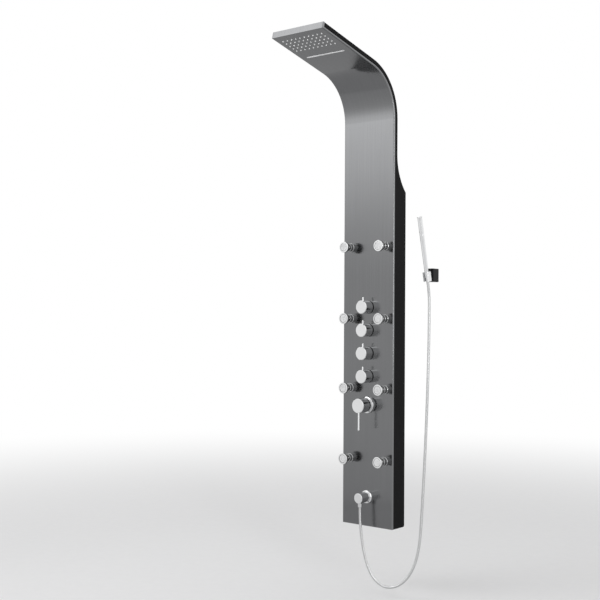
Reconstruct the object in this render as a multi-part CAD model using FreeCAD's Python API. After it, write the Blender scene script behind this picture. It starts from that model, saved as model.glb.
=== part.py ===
"""Wall-hung shower panel column with body jets, diverters, mixer and hand shower.

Frame: origin in the wall plane at the centre of the upper wall bracket's two
screw holes, +Z up, -Y out of the wall towards the user, +X to the user's right.
Sizes are in millimetres. Heights are measured up from the panel's bottom edge,
and depths back from the front of the face panel, so a negative depth is in
front of it.
"""
import FreeCAD
import Part
import math
import os

V = FreeCAD.Vector

# ---- panel -------------------------------------------------------------
panel_width = 215.0
panel_depth = 74.0          # face to the rear edge of the sides
wall_gap = 1.0              # rear edge of the sides to the wall
sheet = 1.5                 # thickness of every sheet
fold_radius = 4.0           # rounded long edges of the face
return_depth = 5.5          # how far the face panel folds back
lip_return = 6.0            # how far the front lip folds back at its ends
lip_edge_radius = 1.6       # edge between the lip and the underside
groove_width = 3.0          # shadow gap between the face fold and the side
groove_depth = 3.0
side_inset = 1.5            # sides lie this far inside the face panel
bottom_corner_radius = 6.0  # rear bottom corner of the sides
cover_gap = 1.0             # between the arm's back cover and the lip

# ---- arm and head ------------------------------------------------------
bend_start_height = 1413.5  # the face starts to curve forward here
bend_radius = 164.0
head_rise = 14.0            # degrees by which the head points up
head_length = 281.6         # straight stretch from the bend to the lip
arm_thickness = 22.0
sweep_top_height = 1290.0   # the sides start to widen to the wall here
sweep_radius = 180.0

# ---- wall brackets -----------------------------------------------------
upper_bracket_height = 1080.0
lower_bracket_height = 160.0
bracket_width = 160.0
bracket_plate_height = 40.0
bracket_sheet = 2.5
bracket_hole_spacing = 120.0
bracket_hole_radius = 2.75
bracket_reach = 13.0        # from the wall to the front of its upturned hook
bracket_hook = 12.0
rail_clearance = 2.0        # between the hook and the rail's rear flange
rail_reach = 10.0           # rail in front of the hook
rail_front_flange = 42.0
rail_rear_flange = 8.0

# ---- rain head ---------------------------------------------------------
nozzle_columns = 10
nozzle_rows = 5
nozzle_pitch = 18.0
nozzle_first_row = 29.5     # from the lip
nozzle_base_radius = 2.6
nozzle_tip_radius = 2.1
nozzle_bore_radius = 0.7
nozzle_proud = 2.4
nozzle_hole_clearance = 0.3
mat_thickness = 3.0
chamber_width = 196.0
chamber_front = 12.0        # from the lip
chamber_back = 118.0
chamber_wall = 2.0
slot_position = 154.5       # from the lip
slot_length = 156.0
slot_height = 5.0
slot_wall = 1.8
slot_proud = 1.2
slot_clearance = 0.25
spout_width = 168.0
spout_front = 144.0
spout_back = 169.0
spout_thickness = 7.5
spout_inlet_length = 15.0
spout_inlet_width = 20.0

# ---- feed tubes --------------------------------------------------------
tube_radius = 5.0
tube_wall = 1.2
arm_tube_depth = 14.5
arm_tube_offset = 40.0      # the two arm tubes lie this far left and right
jet_tube_depth = 30.0
jet_tube_bend = 12.0
outlet_tube_back_depth = 54.0
outlet_tube_front_depth = 39.0
outlet_tube_shift_height = 375.0
outlet_tube_start_height = 540.0

# ---- body jets ---------------------------------------------------------
jet_offset = 74.0
jet_heights = (231.5, 479.0, 723.0, 973.5)
thread_radius = 10.48       # G 1/2 outside
thread_hole_clearance = 0.32
shank_length = 22.0         # behind the face
jet_flange_radius = 15.6
jet_flange = 6.0
jet_bore_radius = 6.0
jet_pivot = 14.0            # ball centre in front of the face
jet_ball_radius = 9.0
jet_seat_clearance = 0.25
jet_collar_radius = 14.2
jet_collar_front = 20.0
jet_mouth_radius = 7.9
jet_neck_radius = 5.5
jet_face = 46.0             # front of the jet head
jet_head_radius = 19.25
jet_rim = 6.3               # cylindrical rim of the head
jet_bell_radius = 8.0
jet_bell_start = 27.0
jet_recess_radius = 14.3
jet_recess = 1.5
jet_insert_clearance = 1.1  # groove round the nozzle insert
jet_water_radius = 3.0
nut_across_flats = 27.0
nut_thickness = 8.0
nut_clearance = 0.05
tee_radius = 8.0
sleeve_tee_radius = 6.6

# ---- diverters ---------------------------------------------------------
diverter_first_height = 521.5
diverter_pitch = 80.5
diverter_count = 4
cartridge_radius = 11.0
cartridge_nose = 20.0
cartridge_tail = 34.0
bore_clearance = 0.05
face_hole_clearance = 0.3
base_ring_radius = 22.3
base_ring = 3.2
lock_nut_radius = 15.5
lock_nut = 5.0
knob_radius = 23.0
knob_front = 42.0
knob_gap = 0.3              # behind the knob's rear edge
knob_wall = 2.5
knob_front_wall = 4.0
knob_chamfer = 1.7
knob_boss_radius = 8.0
knob_boss_start = 22.0
spindle_radius = 4.0
spindle_tail = 5.0
spindle_front = 35.0
pin_radius = 2.8
pin_height = 29.5           # in front of the face
pin_top = 35.0              # from the knob's axis

# ---- manifold ----------------------------------------------------------
manifold_half_width = 17.0
manifold_front_depth = 9.0
manifold_back_depth = 41.0
manifold_bottom_margin = 21.5   # below the lowest diverter
manifold_top_margin = 37.0      # above the highest diverter
manifold_boss_radius = 15.0
crossbar_height = 642.0

# ---- mixer -------------------------------------------------------------
mixer_height = 421.5
mixer_body_radius = 27.0
mixer_body_depth = 45.0
mixer_inlet_reach = 45.0
mixer_inlet_radius = 12.0
mixer_axis_depth = 25.0     # inlets and outlet of the mixer body
mixer_outlet_radius = 9.0
mixer_ring_radius = 29.0
mixer_ring = 8.0
sleeve_radius = 24.0
sleeve_front = 14.5
shank_radius = 18.0
shank_depth = 12.0
dome_radius = 19.0
dome_mouth_radius = 11.5
mixer_pivot = 24.0          # in front of the face
carrier_radius = 14.5
carrier_bore_radius = 9.5
carrier_half_length = 7.0
carrier_clearance = 0.1
carrier_end_gap = 0.3
mixer_cartridge_radius = 17.4
mixer_cartridge_depth = 40.0
stem_radius = 5.0
stem_tail_radius = 4.0
stem_tail = 9.0
stem_front = 50.0
stem_pin_radius = 2.5
stem_recess_radius = 8.5
stem_recess = 5.7
handle_radius = 25.0
handle_front = 58.5
handle_rear = 21.5
handle_cavity_radius = 22.0
handle_chamfer = 1.8
lever_radius = 3.1
lever_tip_radius = 3.4
lever_tip_length = 7.0
lever_position = 51.0       # in front of the face
lever_root = 12.0
lever_length = 85.5         # from the handle's axis to the tip

# ---- inlet unions ------------------------------------------------------
union_offset = 52.0
union_radius = 11.0
union_reach = 16.0          # from the inlets' axis back to the thread
union_thread = 14.0

# ---- hose outlet -------------------------------------------------------
outlet_height = 102.0
outlet_radius = 17.5
outlet_front = 53.5
outlet_chamfer = 1.5
outlet_ring_radius = 23.8
outlet_ring_neck = 18.8     # inner edge of its domed front
outlet_ring = 9.0
outlet_ring_flat = 2.5
outlet_bore_radius = 6.0
spigot_position = 41.0      # in front of the face
spigot_radius = 5.2
spigot_length = 7.0
hose_nut_radius = 7.6
hose_nut_length = 14.0

# ---- hand shower -------------------------------------------------------
holder_offset = 227.5
holder_width = 28.0
holder_depth = 34.0
holder_block_height = 46.0
holder_centre_height = 872.0
holder_edge_radius = 3.0
holder_wall = 2.5
holder_pocket = 6.0         # deep, for the wall plate and its screw heads
holder_plate = 3.0
holder_plate_clearance = 0.3
holder_screw_spacing = 28.0
holder_screw_radius = 2.25
clip_wall_distance = 50.0   # clip axis to the wall, at the clip's middle
clip_height = 867.0
clip_length = 32.0
clip_radius = 13.9
clip_gap = 13.0             # mouth that the hose passes through
clip_neck_width = 12.0
clip_neck_height = 20.0
stick_lean = 13.45          # degrees out from the vertical
cone_top_radius = 8.8
cone_bottom_radius = 5.6
cone_clearance = 0.3
cone_half_length = 17.0
ferrule_radius = 5.3
ferrule_length = 6.0
ferrule_neck_radius = 4.2
ferrule_neck = 9.0
swivel_clearance = 0.05
grip_bottom_radius = 6.9
grip_top_radius = 7.6
grip_end = 147.4            # from the clip's middle
joint_groove = 1.6
joint_groove_depth = 0.9
head_radius = 7.8
head_flare_radius = 8.7
head_flare_length = 5.0
head_end = 204.6
spray_plate_width = 9.0
spray_plate_length = 40.0
spray_plate_seat = 6.4      # from the stick's axis
spray_plate_thickness = 1.6

# ---- hose --------------------------------------------------------------
hose_radius = 4.75
# x, distance in front of the wall, height over the panel's bottom edge
hose_route = (
    (0.0, 116.0, 71.0),
    (0.0, 116.0, 36.0),
    (4.0, 116.4, -12.0),
    (12.5, 114.6, -68.0),
    (26.0, 110.8, -123.0),
    (48.0, 104.6, -168.0),
    (80.0, 95.0, -193.0),
    (114.5, 84.5, -194.5),
    (146.0, 74.0, -178.0),
    (173.0, 64.5, -145.0),
    (192.8, 57.2, -97.0),
    (204.5, 53.5, -38.0),
    (210.5, 52.0, 40.0),
    (215.0, 50.6, 125.0),
    (219.8, 49.0, 225.0),
    (223.6, 46.8, 335.0),
    (226.2, 43.6, 450.0),
    (227.5, 40.2, 560.0),
    (228.0, 37.4, 660.0),
    (227.8, 35.8, 750.0),
)
hose_end_run = 37.0         # last run, straight into the ferrule

# ---- screws ------------------------------------------------------------
screw_radius = 2.0
screw_head_radius = 3.8
screw_head = 2.2
screw_length = 5.0
screw_boss_radius = 5.0
screw_inset = 12.0

face_to_wall = panel_depth + wall_gap
half_width = panel_width / 2
half_inside = half_width - side_inset - sheet          # inner face of a side
half_flange = half_width - side_inset - groove_depth   # outer face of the flange
diverter_heights = tuple(diverter_first_height + diverter_pitch * i for i in range(diverter_count))
bend_end_angle = math.radians(90.0 - head_rise)


def up(height):
    """Height over the panel's bottom edge -> Z."""
    return height - upper_bracket_height


def back(depth):
    """Depth behind the front of the face -> Y."""
    return depth - face_to_wall


# ---- primitives ----------------------------------------------------------
def box(x0, x1, y0, y1, z0, z1):
    return Part.makeBox(x1 - x0, y1 - y0, z1 - z0, V(x0, y0, z0))


def rod(radius, start, end):
    start, end = V(*start), V(*end)
    along = end - start
    return Part.makeCylinder(radius, along.Length, start, along)


def lathe(points):
    """Turn a closed outline of (radius, distance) about the Z axis."""
    corners = [V(r, 0, s) for r, s in points]
    face = Part.Face(Part.makePolygon(corners + corners[:1]))
    return face.revolve(V(0, 0, 0), V(0, 0, 1), 360)


def placed(shape, placement):
    moved = shape.copy()
    moved.Placement = placement.multiply(moved.Placement)
    return moved


def on_face(x, height):
    """Local Z points out of the face, local Y points up."""
    return FreeCAD.Placement(V(x, back(0), up(height)), FreeCAD.Rotation(V(1, 0, 0), 90))


def mirrored(shape):
    return shape.mirror(V(0, 0, 0), V(1, 0, 0))


def joined(shapes):
    first = shapes[0]
    return first.multiFuse(shapes[1:]).removeSplitter()


def group(shapes):
    return Part.makeCompound(shapes)


# ---- the face line: straight, forward bend, straight head ----------------
def bend_point(depth, angle):
    y = back(-bend_radius) + (bend_radius + depth) * math.cos(angle)
    z = up(bend_start_height) + (bend_radius + depth) * math.sin(angle)
    return V(0, y, z)


def head_point(depth, from_lip):
    along = head_length - from_lip
    rise = math.radians(head_rise)
    end = bend_point(depth, bend_end_angle)
    return V(0, end.y - along * math.cos(rise), end.z + along * math.sin(rise))


def line(a, b):
    return Part.LineSegment(a, b).toShape()


def arc(a, middle, b):
    return Part.Arc(a, middle, b).toShape()


def face_line(depth, start_height, from_lip):
    """Edges of the face line, set back by depth, from a height to near the lip."""
    start = V(0, back(depth), up(start_height))
    bend_a, bend_b = bend_point(depth, 0), bend_point(depth, bend_end_angle)
    bend_middle = bend_point(depth, bend_end_angle / 2)
    tip = head_point(depth, from_lip)
    return [line(start, bend_a), arc(bend_a, bend_middle, bend_b), line(bend_b, tip)], start, tip


def bent_line(depth, start_angle, from_lip):
    """Edges of the face line, set back by depth, from a point on the bend to near the lip."""
    start, bend_b = bend_point(depth, start_angle), bend_point(depth, bend_end_angle)
    middle = bend_point(depth, (start_angle + bend_end_angle) / 2)
    tip = head_point(depth, from_lip)
    return [arc(start, middle, bend_b), line(bend_b, tip)], start, tip


def extruded(edges, x0, x1):
    face = Part.Face(Part.Wire(edges))
    face.translate(V(x0, 0, 0))
    return face.extrude(V(x1 - x0, 0, 0))


def band(depth0, depth1, x0, x1, from_lip=0.0, start_height=0.0):
    """Solid between two depths behind the face, all along the face line."""
    front, front_start, front_tip = face_line(depth0, start_height, from_lip)
    rear, rear_start, rear_tip = face_line(depth1, start_height, from_lip)
    edges = front + [line(front_tip, rear_tip)] + rear[::-1] + [line(rear_start, front_start)]
    return extruded(Part.__sortEdges__(edges), x0, x1)


def on_head(x=0.0):
    """At the lip: local Z points out of the underside, local Y past the lip."""
    tip = head_point(0, 0)
    turn = FreeCAD.Rotation(V(1, 0, 0), 180.0 - head_rise)
    return FreeCAD.Placement(V(x, tip.y, tip.z), turn)


def head_box(x0, x1, from_lip0, from_lip1, depth0, depth1):
    block = box(x0, x1, -from_lip1, -from_lip0, -depth1, -depth0)
    return placed(block, on_head())


def head_rod(radius, x, from_lip, depth0, depth1):
    return placed(rod(radius, (x, -from_lip, -depth1), (x, -from_lip, -depth0)), on_head())


# ---- sheet metal ---------------------------------------------------------
def long_edges(solid, x, depth, from_lip=0.0):
    """The edges that run along the face line at one side."""
    found = []
    for edge in solid.Edges:
        middle = edge.valueAt((edge.FirstParameter + edge.LastParameter) / 2)
        if abs(middle.x - x) > 0.01:
            continue
        straight = abs(middle.y - back(depth)) < 0.01 and middle.z < up(bend_start_height) + 0.01
        centre = V(x, back(-bend_radius), up(bend_start_height))
        on_bend = abs((middle - centre).Length - bend_radius - depth) < 0.01
        on_bend = on_bend and middle.z > up(bend_start_height)
        tip = head_point(depth, from_lip)
        root = bend_point(depth, bend_end_angle)
        on_head_line = (V(0, middle.y, middle.z).distanceToLine(tip, tip - root) < 0.01
                        and middle.z > root.z - 0.01)
        if straight or on_bend or on_head_line:
            found.append(edge)
    return found


def tip_edges(solid, x, from_lip=0.0):
    """The upright edges at the ends of the lip."""
    low, high = head_point(0, from_lip), head_point(arm_thickness, from_lip)
    centre = (low + high).multiply(0.5)
    found = []
    for edge in solid.Edges:
        middle = edge.valueAt((edge.FirstParameter + edge.LastParameter) / 2)
        near = (V(0, middle.y, middle.z) - centre).Length < arm_thickness * 0.3
        if near and abs(middle.x - x) < 0.01:
            found.append(edge)
    return found


def lip_edge(solid, depth, from_lip=0.0):
    tip = head_point(depth, from_lip)
    found = []
    for edge in solid.Edges:
        middle = edge.valueAt((edge.FirstParameter + edge.LastParameter) / 2)
        if abs(middle.x) < 0.01 and (V(0, middle.y, middle.z) - tip).Length < 0.01:
            found.append(edge)
    return found


def tray(inset, radius, lip_radius, rear_depth):
    """Closed block whose skin is the face panel's, set in by inset."""
    half = half_width - inset
    block = band(inset, rear_depth, -half, half, from_lip=inset, start_height=-inset)
    rounded = []
    for x in (-half, half):
        rounded += long_edges(block, x, inset, from_lip=inset)
        rounded += tip_edges(block, x, from_lip=inset)
    block = block.makeFillet(radius, rounded)
    return block.makeFillet(lip_radius, lip_edge(block, inset, from_lip=inset))


def nozzle_places():
    for row in range(nozzle_rows):
        for column in range(nozzle_columns):
            x = (column - (nozzle_columns - 1) / 2) * nozzle_pitch
            yield x, nozzle_first_row + row * nozzle_pitch


def face_panel():
    outer = tray(0.0, fold_radius, lip_edge_radius, arm_thickness)
    inner = tray(sheet, fold_radius - sheet, lip_edge_radius / 2, arm_thickness + sheet)
    shell = outer.cut(inner)
    bottom_block = box(-half_width, half_width, back(-1), back(arm_thickness + 2), up(-sheet * 2), up(0))
    shell = shell.cut(bottom_block)
    for side in (-1, 1):
        x0, x1 = sorted((side * (half_width - fold_radius - sheet), side * (half_width + 1)))
        shell = shell.cut(band(return_depth, arm_thickness + 1, x0, x1, from_lip=lip_return, start_height=-1))
    holes = []
    through = (-sheet * 2, sheet)
    for height in diverter_heights:
        radius = cartridge_radius + face_hole_clearance
        holes.append(placed(rod(radius, (0, 0, through[0]), (0, 0, through[1])), on_face(0, height)))
    radius = shank_radius + face_hole_clearance
    holes.append(placed(rod(radius, (0, 0, through[0]), (0, 0, through[1])), on_face(0, mixer_height)))
    radius = thread_radius + thread_hole_clearance
    for x, height in jet_places() + [(0, outlet_height)]:
        holes.append(placed(rod(radius, (0, 0, through[0]), (0, 0, through[1])), on_face(x, height)))
    radius = nozzle_base_radius + nozzle_hole_clearance
    for x, from_lip in nozzle_places():
        holes.append(head_rod(radius, x, from_lip, -sheet, sheet * 2))
    half_slot = slot_length / 2 + slot_clearance
    half_gap = slot_height / 2 + slot_clearance
    holes.append(head_box(-half_slot, half_slot, slot_position - half_gap, slot_position + half_gap,
                          -sheet, sheet * 2))
    return shell.cut(group(holes))


def sweep_start_angle():
    """How far round the bend the sweep starts; 0 on the straight below the bend."""
    rise = max(0.0, sweep_top_height - bend_start_height)
    return math.asin(rise / (bend_radius + arm_thickness))


def sweep_point(radius_change, fraction):
    """Point on the curve by which the side widens from the arm to the wall."""
    first = sweep_start_angle()
    centre = bend_point(arm_thickness + sweep_radius, first)
    centre.z -= max(0.0, bend_start_height - sweep_top_height)
    last = math.acos((centre.y - back(panel_depth)) / sweep_radius)
    angle = first + (last - first) * fraction
    radius = sweep_radius + radius_change
    return V(0, centre.y - radius * math.cos(angle), centre.z - radius * math.sin(angle))


def rear_line(inset, from_lip):
    """Edges of the rear outline from the lip down to the wall."""
    depth = arm_thickness - inset
    first = sweep_start_angle()
    if first > 0:
        arm, start, tip = bent_line(depth, first, from_lip)
    else:
        arm, start, tip = face_line(depth, sweep_top_height, from_lip)
    curve = arc(sweep_point(inset, 0), sweep_point(inset, 0.5), sweep_point(inset, 1))
    return arm + [curve], tip, sweep_point(inset, 1)


def side_skin():
    """Right-hand side: outer wall, groove web and the flange behind the face fold."""
    wall_front = return_depth + groove_width
    from_lip = lip_return + groove_width
    front, front_start, front_tip = face_line(wall_front, 0, from_lip)
    rear, rear_tip, rear_foot = rear_line(0.0, from_lip)
    r = bottom_corner_radius
    corner_top = V(0, back(panel_depth), up(r))
    corner_end = V(0, back(panel_depth - r), up(0))
    bulge = r * (1 - math.sqrt(0.5))
    corner_middle = V(0, back(panel_depth - bulge), up(bulge))
    edges = front + [line(front_tip, rear_tip)] + rear
    edges += [line(rear_foot, corner_top), arc(corner_top, corner_middle, corner_end),
              line(corner_end, front_start)]
    outside = half_width - side_inset
    wall = extruded(Part.__sortEdges__(edges), half_inside, outside)
    web = band(wall_front, wall_front + sheet, half_flange - sheet, outside, from_lip=from_lip)
    flange = band(sheet, wall_front + sheet, half_flange - sheet, half_flange, from_lip=from_lip)
    return joined([wall, web, flange])


def arm_back_cover():
    outer, outer_tip, outer_foot = rear_line(0.0, sheet + cover_gap)
    inner, inner_tip, inner_foot = rear_line(sheet, sheet + cover_gap)
    edges = outer + [line(outer_tip, inner_tip)] + inner + [line(outer_foot, inner_foot)]
    cover = extruded(Part.__sortEdges__(edges), -half_inside, half_inside)
    holes = [head_rod(screw_radius + nut_clearance, x, s, arm_thickness - 2 * sheet, arm_thickness + 1)
             for x, s in screw_places()]
    return cover.cut(group(holes))


def bottom_cover():
    wide = box(-half_inside, half_inside, back(return_depth + groove_width + sheet),
               back(panel_depth - bottom_corner_radius), up(0.5), up(0.5 + sheet))
    narrow_half = half_flange - sheet
    narrow = box(-narrow_half, narrow_half, back(sheet), back(return_depth + groove_width + sheet + 1),
                 up(0.5), up(0.5 + sheet))
    return joined([wide, narrow])


def screw_places():
    return [(x, s) for x in (-chamber_width / 2 + screw_inset, chamber_width / 2 - screw_inset)
            for s in (chamber_front + screw_inset, chamber_back - screw_inset)]


def cover_screws():
    screws = []
    for x, s in screw_places():
        shank = head_rod(screw_radius, x, s, arm_thickness - sheet - screw_length, arm_thickness)
        head = placed(lathe([(0, 0), (screw_head_radius, 0), (screw_head_radius, -screw_head * 0.5),
                             (screw_head_radius * 0.6, -screw_head), (0, -screw_head)]),
                      on_head(x).multiply(FreeCAD.Placement(V(0, -s, -arm_thickness), FreeCAD.Rotation())))
        screws.append(joined([shank, head]))
    return group(screws)


# ---- hanging ---------------------------------------------------------------
def polygon_bar(points, half_length):
    """Extrude an outline of (distance from the wall, height) along X."""
    corners = [V(-half_length, -d, up(h)) for d, h in points]
    face = Part.Face(Part.makePolygon(corners + corners[:1]))
    return face.extrude(V(2 * half_length, 0, 0))


def wall_bracket(height):
    top = height + bracket_plate_height / 2
    t = bracket_sheet
    bracket = polygon_bar([(0, height - bracket_plate_height / 2), (0, top), (bracket_reach - t, top),
                           (bracket_reach - t, top + bracket_hook), (bracket_reach, top + bracket_hook),
                           (bracket_reach, top - t), (t, top - t), (t, height - bracket_plate_height / 2)],
                          bracket_width / 2)
    for x in (-bracket_hole_spacing / 2, bracket_hole_spacing / 2):
        bracket = bracket.cut(rod(bracket_hole_radius, (x, -t - 1, up(height)), (x, 1, up(height))))
    return bracket


def hanger_rail(height):
    """Channel between the sides that drops over the bracket's hook."""
    t = bracket_sheet
    seat = height + bracket_plate_height / 2 + bracket_hook
    rear = bracket_reach - t - rail_clearance
    front = bracket_reach + rail_reach
    return polygon_bar([(rear - t, seat - rail_rear_flange), (rear - t, seat + t), (front, seat + t),
                        (front, seat - rail_front_flange), (front - t, seat - rail_front_flange),
                        (front - t, seat), (rear, seat), (rear, seat - rail_rear_flange)], half_inside)


# ---- rain head -------------------------------------------------------------
def rain_nozzle_mat():
    half = chamber_width / 2
    mat = head_box(-half, half, chamber_front, chamber_back, sheet, sheet + mat_thickness)
    nozzles, bores = [], []
    for x, from_lip in nozzle_places():
        cone = Part.makeCone(nozzle_base_radius, nozzle_tip_radius, nozzle_proud + sheet,
                             V(x, -from_lip, -sheet), V(0, 0, 1))
        nozzles.append(placed(cone, on_head()))
        bores.append(head_rod(nozzle_bore_radius, x, from_lip, -nozzle_proud - 1, sheet + mat_thickness + 1))
    return mat.multiFuse(nozzles).cut(group(bores))


def rain_chamber():
    half, wall = chamber_width / 2, chamber_wall
    low, high = sheet + mat_thickness, arm_thickness - sheet
    block = head_box(-half, half, chamber_front, chamber_back, low, high)
    hollow = head_box(-half + wall, half - wall, chamber_front + wall, chamber_back - wall, low, high - wall)
    chamber = block.cut(hollow)
    bosses = [head_rod(screw_boss_radius, x, s, low + 1, high) for x, s in screw_places()]
    chamber = chamber.multiFuse(bosses).removeSplitter()
    drills = [head_rod(screw_radius, x, s, high - screw_length, high + 1) for x, s in screw_places()]
    inner = tube_radius - tube_wall
    feed = placed(rod(inner, (-arm_tube_offset, -chamber_back - 1, -arm_tube_depth),
                      (-arm_tube_offset, -chamber_back + wall + 1, -arm_tube_depth)), on_head())
    return chamber.cut(group(drills + [feed]))


def waterfall_spout():
    half = spout_width / 2
    body = head_box(-half, half, spout_front, spout_back, sheet, sheet + spout_thickness)
    lip = head_box(-slot_length / 2, slot_length / 2, slot_position - slot_height / 2,
                   slot_position + slot_height / 2, -slot_proud, sheet)
    x0, x1 = arm_tube_offset - spout_inlet_width / 2, arm_tube_offset + spout_inlet_width / 2
    inlet = head_box(x0, x1, spout_back, spout_back + spout_inlet_length, sheet, arm_thickness - sheet)
    spout = joined([body, lip, inlet])
    channel = head_box(-slot_length / 2 + slot_wall, slot_length / 2 - slot_wall,
                       slot_position - slot_height / 2 + slot_wall,
                       slot_position + slot_height / 2 - slot_wall, -slot_proud - 1, sheet + 3.0)
    plenum = head_box(-half + chamber_wall, half - chamber_wall, spout_front + chamber_wall,
                      spout_back - chamber_wall, sheet + chamber_wall, sheet + spout_thickness - chamber_wall)
    duct = head_box(x0 + chamber_wall, x1 - chamber_wall, spout_back - chamber_wall - 1,
                    spout_back + spout_inlet_length - chamber_wall, sheet + chamber_wall,
                    arm_thickness - sheet - chamber_wall)
    drop = head_box(x0 + chamber_wall, x1 - chamber_wall, spout_back - chamber_wall - 1,
                    spout_back + chamber_wall, sheet + chamber_wall, sheet + spout_thickness - chamber_wall)
    duct = duct.cut(head_box(x0, x1, spout_front, spout_back, sheet + spout_thickness - chamber_wall, 99))
    feed = placed(rod(tube_radius - tube_wall,
                      (arm_tube_offset, -spout_back - spout_inlet_length - 1, -arm_tube_depth),
                      (arm_tube_offset, -spout_back - spout_inlet_length + chamber_wall + 1, -arm_tube_depth)),
                  on_head())
    return spout.cut(channel).cut(plenum).cut(duct).cut(drop).cut(feed)


# ---- feed tubes ------------------------------------------------------------
def tube_along(edges):
    """Hollow tube along edges that meet smoothly."""
    path = Part.Wire(edges)
    start = edges[0].valueAt(edges[0].FirstParameter)
    heading = edges[0].tangentAt(edges[0].FirstParameter)
    solids = []
    for radius in (tube_radius, tube_radius - tube_wall):
        ring = Part.Wire(Part.makeCircle(radius, start, heading))
        solids.append(path.makePipeShell([ring], True, False))
    return solids[0].cut(solids[1])


def rounded_path(points, radius):
    """Lines between points, with an arc of one radius at each inner point."""
    edges, here = [], points[0]
    for corner, onward in zip(points[1:-1], points[2:]):
        before, after = (corner - here).normalize(), (onward - corner).normalize()
        half_turn = before.getAngle(after) / 2
        cut = radius * math.tan(half_turn)
        a, b = corner - before * cut, corner + after * cut
        inward = (after - before).normalize()
        middle = corner + inward * (radius / math.cos(half_turn) - radius)
        edges += [line(here, a), arc(a, middle, b)]
        here = b
    edges.append(line(here, points[-1]))
    return edges


def arm_tube(side, from_lip):
    x = side * arm_tube_offset
    height = diverter_heights[-1] + manifold_top_margin - 2 * tube_radius
    entry = V(side * manifold_half_width, back(arm_tube_depth), up(height))
    corner = V(x, back(arm_tube_depth), up(height))
    rise = V(x, back(arm_tube_depth), up(height + 3 * jet_tube_bend))
    lower = rounded_path([entry, corner, rise], jet_tube_bend)
    arm, start, tip = face_line(arm_tube_depth, height + 3 * jet_tube_bend, from_lip)
    for edge in arm:
        edge.translate(V(x, 0, 0))
    return tube_along(lower + arm)


def jet_feed():
    """Riser on the right-hand side with a branch to each jet and one to the manifold."""
    x, y = jet_offset, back(jet_tube_depth)
    low, high = (x, y, up(jet_heights[0])), (x, y, up(jet_heights[-1]))
    cross = up(crossbar_height)
    parts = [rod(tube_radius, low, high),
             rod(tube_radius, (manifold_half_width, y, cross), (x, y, cross)),
             rod(sleeve_tee_radius, (x, y, cross - 2 * tube_radius), (x, y, cross + 2 * tube_radius))]
    for height in jet_heights:
        parts.append(rod(tee_radius, (x, back(shank_length), up(height)),
                         (x, back(jet_tube_depth + tee_radius), up(height))))
    feed = joined(parts)
    inner = tube_radius - tube_wall
    branch = inner - 0.5
    bores = [rod(inner, low, high), rod(branch, (manifold_half_width - 1, y, cross), (x, y, cross))]
    for height in jet_heights:
        bores.append(rod(branch, (x, back(shank_length - 1), up(height)), (x, y, up(height))))
    return feed.cut(joined(bores))


def outlet_feed():
    points = [(manifold_back_depth, outlet_tube_start_height),
              (outlet_tube_back_depth, outlet_tube_start_height),
              (outlet_tube_back_depth, outlet_tube_shift_height),
              (outlet_tube_front_depth, outlet_tube_shift_height - 40.0),
              (outlet_tube_front_depth, outlet_height),
              (shank_length, outlet_height)]
    return tube_along(rounded_path([V(0, back(d), up(h)) for d, h in points], jet_tube_bend))


def feed_tubes():
    arm_spout = arm_tube(1, spout_back + spout_inlet_length)
    arm_rain = arm_tube(-1, chamber_back)
    right = jet_feed()
    return group([arm_rain, arm_spout, mirrored(right), right, outlet_feed()])


# ---- body jets -------------------------------------------------------------
def jet_places():
    return [(x, height) for height in jet_heights for x in (-jet_offset, jet_offset)]


def jet_body():
    flange = lathe([(jet_bore_radius, -shank_length), (thread_radius, -shank_length), (thread_radius, 0),
                    (jet_flange_radius, 0), (jet_flange_radius, jet_flange - 1.2),
                    (jet_flange_radius - 1.2, jet_flange), (jet_bore_radius, jet_flange)])
    return flange


def jet_collar():
    seat = jet_ball_radius + jet_seat_clearance
    ring = lathe([(0, jet_flange), (jet_collar_radius, jet_flange), (jet_collar_radius, jet_collar_front - 1),
                  (jet_collar_radius - 1, jet_collar_front), (0, jet_collar_front)])
    ring = ring.cut(Part.makeSphere(seat, V(0, 0, jet_pivot)))
    ring = ring.cut(rod(seat, (0, 0, jet_flange - 1), (0, 0, jet_pivot)))
    return ring.cut(rod(jet_mouth_radius, (0, 0, jet_pivot), (0, 0, jet_collar_front + 1)))


def jet_head():
    """Head shell with its ball, and the nozzle insert in its recess."""
    front = jet_face
    shell = lathe([(0, jet_pivot), (jet_neck_radius, jet_pivot), (jet_neck_radius, jet_bell_start - 3),
                   (jet_bell_radius, jet_bell_start), (jet_head_radius, front - jet_rim - 1.2),
                   (jet_head_radius, front - 1.0), (jet_head_radius - 1.0, front),
                   (jet_recess_radius, front), (jet_recess_radius, front - jet_recess), (0, front - jet_recess)])
    shell = joined([shell, Part.makeSphere(jet_ball_radius, V(0, 0, jet_pivot))])
    shell = shell.cut(rod(jet_water_radius, (0, 0, 0), (0, 0, front - jet_recess + 1)))
    radius = jet_recess_radius - jet_insert_clearance
    insert = lathe([(0, front - jet_recess), (radius, front - jet_recess), (radius, front - 0.7),
                    (radius - 1.5, front - 0.4), (0, front - 0.4)])
    return group([shell, insert])


def back_nut():
    radius = nut_across_flats / 2 / math.cos(math.radians(30))
    corners = [V(radius * math.cos(math.radians(60 * k)), radius * math.sin(math.radians(60 * k)), -sheet)
               for k in range(6)]
    prism = Part.Face(Part.makePolygon(corners + corners[:1])).extrude(V(0, 0, -nut_thickness))
    return prism.cut(rod(thread_radius + nut_clearance, (0, 0, -nut_thickness - sheet - 1), (0, 0, 0)))


# ---- diverters ---------------------------------------------------------------
def diverter_cartridge():
    body = rod(cartridge_radius, (0, 0, -cartridge_tail), (0, 0, cartridge_nose))
    return body.cut(rod(spindle_radius + bore_clearance, (0, 0, -spindle_tail - bore_clearance * 6),
                        (0, 0, cartridge_nose + 1)))


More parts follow.
